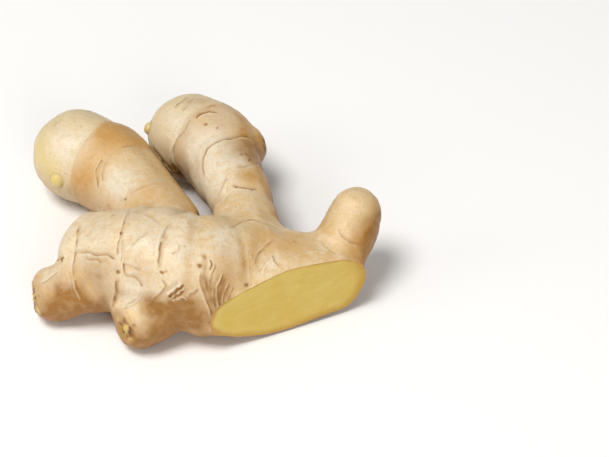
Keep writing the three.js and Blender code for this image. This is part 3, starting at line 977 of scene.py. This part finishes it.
def photo_marks(skin, tree, form, stage):
    """The creases, seams, scale edges, fibres, bands, spots and patches that the photograph shows, some of
    which paint shade and highlights.
    """
    jitter = 0.5 * skin.wander(5)
    whole = np.ones(len(skin.points))
    uneven = np.clip(0.6 + 0.65 * skin.noise(1.9, 3), 0.05, 1)
    ragged = 0.6 + 0.4 * skin.noise(1.2, 4)
    depth, height = form.crease_depth / MM, form.lip_height / MM
    # For each kind of stroke: how far it strays, then all that it changes, by how much, thinned how, how far
    # to its side and how wide. Two widths are those of its two sides.
    kinds = (
        (BANDS, 1.2, (("stain", 0.6, uneven, 0, 0.85), ("relief", -0.1, whole, 0, 0.85))),
        (CREASES, 1, (
            ("relief", -depth, uneven, 0, 0.22), ("relief", 0.15, uneven, -0.55, 0.4),
            ("line", 1.1, uneven, 0, 0.24), ("stain", 0.5, whole, 0.3, 0.6), ("lift", 0.6, whole, -0.6, 0.3),
        )),
        (SEAMS, 0.7, (
            ("relief", 0.22, whole, 0, 0.35), ("relief", -0.12, whole, 0.65, 0.3),
            ("lift", 0.7, uneven, 0, 0.3), ("line", 0.5, ragged, 0.6, 0.2),
        )),
        (SCALE_EDGES, 1.4, (
            ("relief", height, ragged, 0, (1.1, 0.3)), ("relief", -0.5 * height, whole, -0.8, 0.5),
            ("line", 0.65, whole, -0.75, 0.4), ("lift", 1.3, ragged, 0.15, 0.35),
        )),
        (STRANDS, 1.1, (
            ("relief", 0.6 * height, ragged, 0, 0.28), ("relief", -0.35 * height, whole, 0.6, 0.25),
            ("relief", -0.35 * height, whole, -0.6, 0.25), ("line", 0.9, ragged, 0.55, 0.25),
            ("stain", 0.3, uneven, 0.4, 0.9), ("lift", 0.6, ragged, 0, 0.25),
        )),
    )
    for table, stray, changes in kinds:
        for strength, *pixels in table.values():
            line = sighted(tree, stage, pixels)
            if len(line) < 2:
                continue
            near, off, weight = line_weights(skin, line, stray * jitter)
            for what, amount, thinned, aside, width in changes:
                if isinstance(width, tuple):
                    width = np.where(off > 0, *width)
                change = amount * strength * weight * thinned[near] * bump(off - aside, width)
                skin.add(what, change, near)
    blotch = skin.noise(0.9, 18)
    for pixel, radius, darkness in SPOTS.values():
        for middle in sighted(tree, stage, (pixel,)):
            away = skin.away(middle) + 1.5 * jitter + 0.5 * radius * blotch
            skin.add("relief", 0.05 * bump(away - 1.5 * radius, 0.35) - 0.15 * bump(away, radius))
            skin.add("line", 1.1 * darkness * bump(away, 0.8 * radius))
            skin.add("stain", 0.35 * darkness * bump(away, 1.8 * radius))
    cloudy = 1.6 * skin.noise(5, 6) + 0.5 * skin.noise(1.6, 7)
    for pixel, radius, mask_name, strength in PATCHES.values():
        for middle in sighted(tree, stage, (pixel,)):
            away = skin.away(middle) + cloudy * min(1, radius / 4)
            skin.add(mask_name, strength * smooth_step(1.5 * radius, 0, away))


def wrinkled(skin):
    """A net of fine wrinkles where the skin is rough."""
    bent = skin.points + 0.8 * np.stack([skin.noise(2.6, 40 + axis) for axis in range(3)], 1)
    net = lattice_noise(bent / np.array([1.0, 1.0, 1.7]), 1.9, skin.seed + 44)
    fine = lattice_noise(bent, 1.0, skin.seed + 45)
    rough = skin.masks["rough"]
    ridge = bump(net, 0.4) * smooth_step(-0.6, 0.6, fine)
    skin.add("relief", 0.08 * rough * (ridge + fine))
    skin.add("stain", 0.3 * rough * smooth_step(0.1, -0.4, net) * smooth_step(-0.4, 0.4, fine))


def fine_relief(skin, form):
    """Faint wrinkles round the limbs, soft dents and small dimples."""
    wrinkles = lattice_noise(skin.grain / np.array([7, 7, 1.6]), 1, skin.seed + 10)
    patches = smooth_step(-0.1, 0.6, skin.noise(9, 13))
    skin.add("relief", form.wrinkle_height / MM * wrinkles * patches * skin.clear)
    for height, size, pick in ((0.2, 6, 14), (0.09, 2.4, 15), (0.035, 1.0, 17)):
        skin.add("relief", height * skin.noise(size, pick))


def from_axis(skin, place, towards):
    """How far each point is from the axis that goes through a place towards a direction."""
    off = skin.points - np.array(place)
    axis = unit(towards)
    return lengths(off - (off @ axis)[:, None] * axis)


def buds_and_scars(skin):
    for place, towards, across, out in BUDS:
        wide = from_axis(skin, place, towards)
        near = skin.away(place) < 2.5 * across
        dome = np.sqrt(np.clip(1 - (wide / across) ** 2, 0, 1))
        skin.add("relief", near * (out * dome - 0.2 * bump(wide - across, 0.45)))
        skin.add("bud", 0.7 * near * smooth_step(1.3 * across, 0.6 * across, wide))
        skin.add("stain", 0.3 * near * bump(wide - 1.05 * across, 0.4))
    blotch = skin.noise(1.6, 23)
    for place, towards, across, deep in SCARS:
        wide = from_axis(skin, place, towards) + 0.9 * skin.noise(2.2, 20)
        near = skin.away(place) < 2 * across
        dish = np.clip(1 - (wide / across) ** 2, 0, 1)
        inside = near * smooth_step(1.1 * across, 0.5 * across, wide)
        skin.add("relief", near * (0.3 * bump(wide - across, 0.5) - deep * dish))
        skin.add("relief", 0.35 * inside * skin.noise(1.1, 22))
        skin.add("line", 0.4 * near * bump(wide - 0.85 * across, 0.4) * smooth_step(-0.3, 0.3, blotch))
        skin.add("stain", inside * (0.35 + 0.3 * blotch))
        skin.add("bud", 0.6 * inside * smooth_step(0.15, 0.5, -blotch))
        skin.add("speck", inside * smooth_step(0.25, 0.55, skin.noise(1.0, 21)))


def zones(skin):
    """Broad changes of colour over the root, with painted highlights where it faces the light and painted
    shade below, away from the light and between the fingers.
    """
    soft, fine = skin.noise(6, 30), skin.noise(2, 31)
    along = skin.along + 1.2 * soft + 0.5 * fine
    height = skin.normals[:, 2]
    body, left, right, shoot = (
        skin.on(name) * skin.clear for name in ("body", "left_finger", "right_finger", "shoot")
    )
    knobs = (skin.on("left_knob") | skin.on("front_knob")) * skin.clear
    fingers = skin.on("left_finger") + skin.on("right_finger") + skin.on("finger_bump")
    # Lit faces the key light; top faces up and back, low faces down, side faces away from the light.
    lit = smooth_step(-0.3, 0.75, skin.normals @ np.array([-0.5, -0.25, 0.83]) + 0.1 * soft)
    top = smooth_step(-0.1, 0.8, height - 0.4 * skin.normals[:, 1])
    low = smooth_step(0.5, -0.45, height + 0.15 * soft)
    side = skin.normals @ np.array([0.72, -0.1, -0.4]) + 0.12 * soft + 0.06 * fine
    # Pressed is small in the crevice where the two fingers press on each other.
    gaps = (
        in_parts(lambda p: limb_field(name, p), skin.points) for name in ("left_finger", "right_finger")
    )
    pressed = np.maximum(*gaps) + 0.8 * fine + FAR * (skin.points[:, 1] < 0)
    for mask_name, strength in (
        ("pale", left * smooth_step(44.5, 48.5, along)),
        # Less tan on the left finger where it faces the light: a painted highlight.
        ("tan", left * (0.8 - 0.4 * lit) * smooth_step(48.5, 45, along) * smooth_step(22, 38, along)),
        ("tan", left * 0.3 * smooth_step(30, 18, along)),
        ("pale", right * 0.9 * smooth_step(50.5, 54.5, along)),
        ("tan", right * 0.4 * smooth_step(54, 51, along) * smooth_step(36, 42, along)),
        # Painted highlight on the right finger's lit side.
        ("bleach", right * 0.85 * lit * smooth_step(6, 18, along) * (0.8 + 0.3 * soft)),
        ("pale", shoot * 0.35 * smooth_step(12, 20, along)),
        ("tan", shoot * 0.2),
        # Partly painted sheen on the body's top, partly its dry greyish skin.
        ("bleach", 0.6 * body * top * smooth_step(36, 26, along) * (0.7 + 0.3 * soft)),
        # Painted shade: browner on the undersides, on the knobs below their tops, on the sides away from the
        # light, and dark in the crevice between the fingers.
        ("stain", 0.62 * low * (1 - 0.6 * fingers)),
        ("stain", 0.45 * knobs * smooth_step(0.9, 0.2, height + 0.2 * soft)),
        ("tan", smooth_step(-0.15, 0.45, side)),
        ("stain", 0.75 * smooth_step(0.15, 0.8, side)),
        ("stain", 0.9 * smooth_step(2.4, 0.5, pressed)),
        ("line", smooth_step(1.5, -0.5, pressed)),
    ):
        skin.add(mask_name, strength)
    blotches = 1 + 0.2 * fine + 0.08 * skin.noise(0.9, 32)
    skin.masks["stain"] = np.clip(skin.masks["stain"] * blotches, 0, 1)


# Materials


class Nodes:
    """Makes and links the nodes of one material or group, laid out in columns as they come."""

    ROWS = 6
    PITCH = 260

    def __init__(self, tree):
        self.tree = tree
        tree.nodes.clear()

    def put(self, socket, value):
        """Links an output to a socket, or sets the socket's own value."""
        if isinstance(value, bpy.types.NodeSocket):
            self.tree.links.new(value, socket)
        else:
            socket.default_value = (*value, 1) if socket.type == "RGBA" else value

    def node(self, kind, inputs=None, **settings):
        column, row = divmod(len(self.tree.nodes), self.ROWS)
        made = self.tree.nodes.new(kind)
        made.location = (column * self.PITCH, -row * self.PITCH)
        for key, value in settings.items():
            setattr(made, key, value)
        for key, value in (inputs or {}).items():
            self.put(made.inputs[key], value)
        return made

    def maths(self, operation, a, b, clamp=False):
        inputs = {0: a, 1: b}
        return self.node("ShaderNodeMath", inputs, operation=operation, use_clamp=clamp).outputs[0]

    def times(self, a, b, clamp=False):
        return self.maths("MULTIPLY", a, b, clamp)

    def mask(self, name):
        return self.node("ShaderNodeAttribute", attribute_name=name).outputs["Fac"]

    def ramp(self, source, low, high, start=0.0, end=1.0):
        inputs = {"Value": source, "From Min": low, "From Max": high, "To Min": start, "To Max": end}
        return self.node("ShaderNodeMapRange", inputs, interpolation_type="SMOOTHSTEP").outputs["Result"]

    def noise(self, vector, scale, detail, rough=0.6):
        inputs = {"Vector": vector, "Scale": scale, "Detail": detail, "Roughness": rough}
        return self.node("ShaderNodeTexNoise", inputs).outputs["Fac"]

    def group(self, tree, **inputs):
        return self.node("ShaderNodeGroup", inputs, node_tree=tree).outputs

    def layered(self, colour, layers):
        """A colour with others laid over it, each by its own factor."""
        for factor, over in layers:
            inputs = {0: factor, 6: colour, 7: over}
            colour = self.node("ShaderNodeMix", inputs, data_type="RGBA").outputs[2]
        return colour

    def surface(self, colour, rough, height, strength, distance, inputs):
        """The shader, with a bump of this strength and distance."""
        relief = self.node("ShaderNodeBump", {"Strength": strength, "Distance": distance, "Height": height})
        shader = self.node("ShaderNodeBsdfPrincipled", {
            "Base Color": colour, "Roughness": rough, "Normal": relief.outputs["Normal"], **inputs,
        })
        self.node("ShaderNodeOutputMaterial", {"Surface": shader.outputs["BSDF"]})


def new_group(name, inputs, outputs):
    """An empty group with named sockets: its nodes, what it is given and what it puts out."""
    group = bpy.data.node_groups.new(name, "ShaderNodeTree")
    for label, default in inputs.items():
        kind = "NodeSocketFloat" if isinstance(default, float) else "NodeSocketVector"
        socket = group.interface.new_socket(label, in_out="INPUT", socket_type=kind)
        socket.default_value = default
    for label in outputs:
        group.interface.new_socket(label, in_out="OUTPUT", socket_type="NodeSocketFloat")
    made = Nodes(group)
    return made, made.node("NodeGroupInput").outputs, made.node("NodeGroupOutput").inputs


def speckle_group():
    """Sparse small dots: a mask from round cells, each with its own size."""
    made, given, out = new_group(
        "Speckles", {"Vector": (0, 0, 0), "Scale": 500.0, "Share": 0.2, "Size": 0.3}, ["Mask"]
    )
    inputs = {"Vector": given["Vector"], "Scale": given["Scale"]}
    cells = made.node("ShaderNodeTexVoronoi", inputs, feature="F1").outputs
    own = made.node("ShaderNodeSeparateColor", {"Color": cells["Color"]}).outputs
    chosen = made.maths("LESS_THAN", own["Red"], given["Share"])
    reach = made.times(own["Green"], given["Size"])
    soft = made.times(made.maths("SUBTRACT", reach, cells["Distance"]), 9.0, True)
    made.put(out["Mask"], made.times(soft, chosen))
    return made.tree


def fibre_group():
    """Streaks drawn out along the grain: a colour mask and a height."""
    made, given, out = new_group(
        "Fibres", {"Vector": (0, 0, 0), "Scale": 1.0, "Stretch": (1.0, 1.0, 0.12)}, ["Mask", "Height"]
    )
    inputs = {0: given["Vector"], 1: given["Stretch"]}
    drawn = made.node("ShaderNodeVectorMath", inputs, operation="MULTIPLY").outputs[0]
    coarse = made.noise(drawn, given["Scale"], 4.0, 0.55)
    made.put(out["Mask"], made.ramp(coarse, 0.35, 0.68))
    made.put(out["Height"], coarse)
    return made.tree


def new_material(name):
    """A material without nodes, the maker of its nodes and the place that its patterns are drawn at."""
    material = bpy.data.materials.new(name)
    material.use_nodes = True
    made = Nodes(material.node_tree)
    return material, made, made.node("ShaderNodeTexCoord").outputs["Object"]


def skin_material(colours, speckles, fibres):
    material, made, place = new_material("ginger_skin")
    grain = made.node("ShaderNodeAttribute", attribute_name="grain").outputs["Vector"]
    cloud = made.noise(place, 90.0, 3.0)
    mottle = made.noise(place, 420.0, 5.0)
    grit = made.noise(place, 1500.0, 4.0)
    streaks = made.group(fibres, Vector=grain, Scale=1.1, Stretch=(1.0, 1.0, 0.1))["Mask"]
    wrinkles = made.group(fibres, Vector=grain, Scale=1.6, Stretch=(0.22, 0.22, 1.0))["Height"]
    dots = made.group(speckles, Vector=place, Scale=420.0, Share=0.05, Size=0.34)["Mask"]
    fine_dots = made.group(speckles, Vector=place, Scale=1100.0, Share=0.16, Size=0.42)["Mask"]
    grained, lift = made.mask("grained"), made.mask("lift")
    lined = made.times(made.mask("line"), made.ramp(mottle, 0.25, 0.6, 0.6, 1.0))

    def broken(name, spread):
        """A mask thinned and thickened by the mottle."""
        return made.times(made.ramp(mottle, 0.3, 0.7, 1 - spread, 1 + spread), made.mask(name), True)

    colour = made.layered(colours.cream, (
        (made.ramp(cloud, 0.38, 0.66, 0, 0.35), colours.tan),
        (made.ramp(mottle, 0.42, 0.68, 0, 0.45), colours.bleached_and_sheen),
        # Pale dry skin and painted sheen, then painted highlights, laid on in the bleached colour.
        (broken("bleach", 0.3), colours.bleached_and_sheen),
        # Tan, also as painted shade on the sides away from the light.
        (broken("tan", 0.25), colours.tan),
        (broken("pale", 0.1), colours.pale),
        (broken("shine", 0.2), colours.bleached_and_sheen),
        (made.times(streaks, made.times(grained, 0.1)), colours.tan),
        (made.ramp(mottle, 0.5, 0.3, 0, 0.22), colours.tan),
        (made.ramp(grit, 0.5, 0.75, 0, 0.28), colours.brown),
        # Brown stains, and painted shade on undersides, far sides and crevices.
        (broken("stain", 0.12), colours.brown),
        (made.mask("bud"), colours.bud),
        (made.times(lift, 0.8), colours.bleached_and_sheen),
        (made.times(fine_dots, 0.2), colours.brown),
        (made.times(dots, 0.35), colours.brown),
        # Brown and dark lines, and the painted shadow deep in the crevice between the fingers.
        (made.ramp(lined, 0, 0.6), colours.brown),
        (made.ramp(lined, 0.6, 1.1), colours.dark),
        (made.times(made.mask("speck"), 0.85), colours.dark),
    ))
    rough = made.maths("ADD", made.ramp(mottle, 0.3, 0.7, 0.4, 0.52), made.times(lift, 0.25), True)
    height = made.times(grit, 0.35)
    for pattern, share in ((wrinkles, made.times(grained, 0.5)), (mottle, 0.8), (dots, -0.4)):
        height = made.maths("ADD", height, made.times(pattern, share))
    made.surface(colour, rough, height, 0.7, 0.3 * MM, {
        "IOR": 1.5, "Specular IOR Level": 0.5, "Subsurface Weight": 0.3, "Subsurface Scale": 2.5 * MM,
        "Subsurface Radius": (1.0, 0.5, 0.2),
    })
    return material


def flesh_material(colours, speckles, fibres):
    material, made, place = new_material("ginger_flesh")
    depth, upper, aside = (made.mask(name) for name in ("depth", "upper", "aside"))
    cloud = made.noise(place, 130.0, 4.0)
    fine = made.noise(place, 900.0, 4.0, 0.65)
    pull = made.group(fibres, Vector=place, Scale=700.0, Stretch=(0.35, 0.35, 1.0))
    pores = made.group(speckles, Vector=place, Scale=900.0, Share=0.35, Size=0.45)["Mask"]
    deep = made.maths("ADD", depth, made.maths("ADD", made.times(fine, 0.8), -0.4))

    def rim(inner, outer, side, low, high, share):
        """A band between two depths, on the side of the rim that the ramp picks."""
        return made.times(made.times(made.ramp(deep, inner, outer), made.ramp(side, low, high)), share)

    colour = made.layered(colours.flesh, (
        (made.ramp(cloud, 0.35, 0.65, 0, 0.7), colours.light),
        (made.ramp(pull["Mask"], 0, 1, 0, 0.12), colours.band),
        (made.times(pores, 0.16), colours.band),
        (rim(3.8, 1.0, aside, 0.3, -0.7, 0.7), colours.light),
        (rim(4.5, 0.3, aside, 0.2, 0.9, 0.75), colours.band),
        (rim(3.2, 0.3, upper, 0.1, -0.6, 0.7), colours.band),
        (made.ramp(deep, 1.0, 0.3, 0, 0.55), colours.band),
        (made.ramp(deep, 0.3, 0.12), colours.rind),
    ))
    height = made.maths("ADD", fine, made.times(pull["Height"], 0.8))
    made.surface(colour, made.ramp(fine, 0.3, 0.7, 0.34, 0.5), height, 0.35, 0.2 * MM, {
        "IOR": 1.4, "Specular IOR Level": 0.45, "Subsurface Weight": 0.2, "Subsurface Scale": 3 * MM,
        "Subsurface Radius": (1.0, 0.7, 0.25),
    })
    return material


# Putting the root together


KNIFE_NORMAL = unit((KNIFE_TURN, -1, KNIFE_LEAN))
KNIFE_POINT = np.array([0, KNIFE_SET, 0])
KNIFE_RIGHT = unit(np.cross((0, 0, 1), KNIFE_NORMAL))
KNIFE_UP = np.cross(KNIFE_NORMAL, KNIFE_RIGHT)
KNIFE_SIDES = np.stack([KNIFE_RIGHT, KNIFE_UP])
KNIFE_FOOT = (KNIFE_POINT @ KNIFE_NORMAL) * KNIFE_NORMAL  # the plane's point nearest to the origin


def cap_points(rim):
    """Points inside the cut's outline: rows that follow the rim, then an even grid."""
    _, slope = slopes(rim, KNIFE_SIDES, RIM_STEP)
    outward = slope / lengths(slope)[:, None] @ KNIFE_SIDES
    rows = []
    for inset in CAP_ROWS:
        row = rim - inset * outward
        rows.append(row[in_parts(skin_field, row) < -CAP_ROOM * inset])
    flat = rim @ KNIFE_SIDES.T
    spans = [np.arange(low, high, CAP_GRID) for low, high in zip(flat.min(0), flat.max(0))]
    grid = np.stack(np.meshgrid(*spans, indexing="ij"), -1).reshape(-1, 2) @ KNIFE_SIDES + KNIFE_FOOT
    rows.append(grid[in_parts(skin_field, grid) < -CAP_INSET])
    return np.vstack(rows)


def cut_and_cap(mesh):
    """Takes off what is in front of the knife and closes the cut with a fine flat face. Works in metres."""
    bmesh.ops.bisect_plane(
        mesh, geom=mesh.verts[:] + mesh.edges[:] + mesh.faces[:], dist=1e-7,
        plane_co=Vector(KNIFE_POINT * MM), plane_no=Vector(KNIFE_NORMAL), clear_outer=True,
    )
    border = [edge for edge in mesh.edges if edge.is_boundary]
    verts = list(dict.fromkeys(vert for edge in border for vert in edge.verts))
    index = {vert: i for i, vert in enumerate(verts)}
    rim = np.array([vert.co for vert in verts]) / MM
    flat = [Vector(place) for place in np.vstack([rim, cap_points(rim)]) @ KNIFE_SIDES.T]
    edges = [tuple(index[vert] for vert in edge.verts) for edge in border]
    places, _, faces, came_from, *_ = delaunay_2d_cdt(flat, edges, [], 1, 1e-5, True)
    corners = []
    for place, source in zip(places, came_from):
        if source and source[0] < len(verts):
            corners.append(verts[source[0]])
        else:
            corners.append(mesh.verts.new(Vector((np.array(place) @ KNIFE_SIDES + KNIFE_FOOT) * MM)))
    for face in faces:
        a, b, c = (corners[i] for i in face)
        turned = (b.co - a.co).cross(c.co - a.co).dot(Vector(KNIFE_NORMAL)) < 0
        mesh.faces.new((c, b, a) if turned else (a, b, c)).material_index = 1


def attach(data, name, values, kind="FLOAT", domain="POINT", slot="value"):
    """Keeps a value for each point or edge of a mesh."""
    data.attributes.new(name, kind, domain).data.foreach_set(slot, values.ravel())


def flesh_masks(data):
    """How far each point of the cut lies from its rim, and which way that rim faces."""
    points = points_of(data)
    cut = np.abs((points - KNIFE_POINT) @ KNIFE_NORMAL) < CUT_SLACK
    here, slope = slopes(points[cut], KNIFE_SIDES, FLESH_STEP)
    steep = np.maximum(LEAST_SLOPE, lengths(slope))
    for name, values in (("depth", -here), ("aside", slope[:, 0]), ("upper", slope[:, 1])):
        full = np.zeros(len(points), np.float32)
        full[cut] = values / steep
        attach(data, name, full)


def build_root(form, stage):
    """The root's mesh, in metres, with its masks."""
    points, faces = wrapped(ball_chain(), form.voxel)
    points = evened(settle(points)[0], faces)
    for picks in (shown, marked):
        points, faces = refined(points, faces, picks(surface_tree(points, faces), stage))
    points, normals = settle(points)
    skin = Skin(points, normals, form.seed)
    view = camera_place(stage)[0] / MM - points
    facing = (normals * view).sum(1) / lengths(view)
    ring_marks(skin, form, smooth_step(0.3, 0.0, facing))
    photo_marks(skin, surface_tree(points, faces), form, stage)
    wrinkled(skin)
    fine_relief(skin, form)
    buds_and_scars(skin)
    zones(skin)
    low, high = (np.array(corner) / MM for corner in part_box(ROOT_NODE))
    placed = np.clip(points + normals * skin.relief[:, None], low, high)
    data = bpy.data.meshes.new("ginger")
    data.from_pydata([tuple(p) for p in placed * MM], [], faces)
    for name, values in skin.masks.items():
        attach(data, name, np.float32(values))
    attach(data, "grain", np.float32(skin.grain), "FLOAT_VECTOR", slot="vector")
    mesh = bmesh.new()
    mesh.from_mesh(data)
    cut_and_cap(mesh)
    bmesh.ops.triangulate(mesh, faces=mesh.faces[:])
    mesh.to_mesh(data)
    mesh.free()
    flesh_masks(data)
    data.polygons.foreach_set("use_smooth", np.ones(len(data.polygons), bool))
    data.update()
    return data


def sharpen_rim(data):
    """Keeps the cut's edge crisp between skin and flesh."""
    meets = {}
    for face in data.polygons:
        for key in face.edge_keys:
            meets.setdefault(key, set()).add(face.material_index)
    sharp = np.array([len(meets[edge.key]) > 1 for edge in data.edges])
    attach(data, "sharp_edge", sharp, "BOOLEAN", "EDGE")


class GINGER_OT_root(bpy.types.Operator):
    """Build the ginger root with its skin, buds, scars and cut face"""

    bl_idname = "ginger.root"
    bl_label = "Build Ginger Root"

    def execute(self, context):
        scene = context.scene
        data = build_root(scene.ginger_form, scene.ginger_stage)
        sharpen_rim(data)
        speckles, fibres = speckle_group(), fibre_group()
        data.materials.append(skin_material(scene.ginger_skin, speckles, fibres))
        data.materials.append(flesh_material(scene.ginger_flesh, speckles, fibres))
        root = bpy.data.objects.new("ginger", data)
        context.collection.objects.link(root)
        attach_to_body(root, ROOT_BODY)
        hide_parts(ROOT_NODE)
        return {"FINISHED"}


def aimed(item, place, target):
    """Puts a camera or a light in the scene, pointed at a target."""
    made = bpy.data.objects.new(item.name, item)
    made.location = place
    made.rotation_euler = (Vector(target) - Vector(place)).to_track_quat("-Z", "Y").to_euler()
    bpy.context.collection.objects.link(made)
    return made


class GINGER_OT_stage(bpy.types.Operator):
    """Set up the camera, the pale floor and the soft lights"""

    bl_idname = "ginger.stage"
    bl_label = "Set Up Stage"

    def execute(self, context):
        scene = context.scene
        stage = scene.ginger_stage
        camera = bpy.data.cameras.new("camera")
        camera.lens = stage.lens
        camera.sensor_width = stage.sensor
        camera.clip_start = CLIP_START
        scene.camera = aimed(camera, camera_place(stage)[0], stage.target)

        data = bpy.data.meshes.new("floor")
        corners = [(x * FLOOR_HALF, y * FLOOR_HALF, 0) for x, y in ((-1, -1), (1, -1), (1, 1), (-1, 1))]
        data.from_pydata(corners, [], [(0, 1, 2, 3)])
        paint = bpy.data.materials.new("pale_floor")
        paint.use_nodes = True
        shader = paint.node_tree.nodes["Principled BSDF"]
        shader.inputs["Base Color"].default_value = (*stage.floor_colour, 1)
        shader.inputs["Roughness"].default_value = 0.9
        shader.inputs["Specular IOR Level"].default_value = 0.1
        data.materials.append(paint)
        floor = bpy.data.objects.new("floor", data)
        context.collection.objects.link(floor)

        for name, (place, size, power) in LIGHTS.items():
            lamp = bpy.data.lights.new(name, "AREA")
            lamp.shape = "DISK"
            lamp.size = size
            lamp.energy = getattr(stage, power)
            lamp.color = LIGHT_COLOUR
            aimed(lamp, place, LIGHT_TARGET)
        world = bpy.data.worlds.new("studio")
        scene.world = world
        world.use_nodes = True
        sky = world.node_tree.nodes["Background"]
        sky.inputs["Color"].default_value = (1, 1, 1, 1)
        sky.inputs["Strength"].default_value = stage.sky
        scene.view_settings.view_transform = "Standard"
        return {"FINISHED"}


class GINGER_PT_panel(bpy.types.Panel):
    """Lists the ginger root's operators and their settings"""

    bl_label = "Ginger"
    bl_idname = "GINGER_PT_panel"
    bl_space_type = "VIEW_3D"
    bl_region_type = "UI"
    bl_category = "Ginger"

    def draw(self, context):
        scene = context.scene
        for operator, groups in (
            (GINGER_OT_stage, (scene.ginger_stage,)),
            (GINGER_OT_root, (scene.ginger_form, scene.ginger_skin, scene.ginger_flesh)),
        ):
            box = self.layout.box()
            box.operator(operator.bl_idname)
            for group in groups:
                for name in group.__annotations__:
                    box.prop(group, name)


POINTERS = {
    "ginger_form": GingerForm,
    "ginger_skin": GingerSkinColours,
    "ginger_flesh": GingerFleshColours,
    "ginger_stage": GingerStage,
}
CLASSES = (*POINTERS.values(), GINGER_OT_root, GINGER_OT_stage, GINGER_PT_panel)


def register():
    for item in CLASSES:
        bpy.utils.register_class(item)
    for name, group in POINTERS.items():
        setattr(bpy.types.Scene, name, bpy.props.PointerProperty(type=group))


def unregister():
    for name in POINTERS:
        delattr(bpy.types.Scene, name)
    for item in reversed(CLASSES):
        bpy.utils.unregister_class(item)


def main():
    register()
    bpy.ops.ginger.stage()
    bpy.ops.ginger.root()


if __name__ == "__main__":
    main()
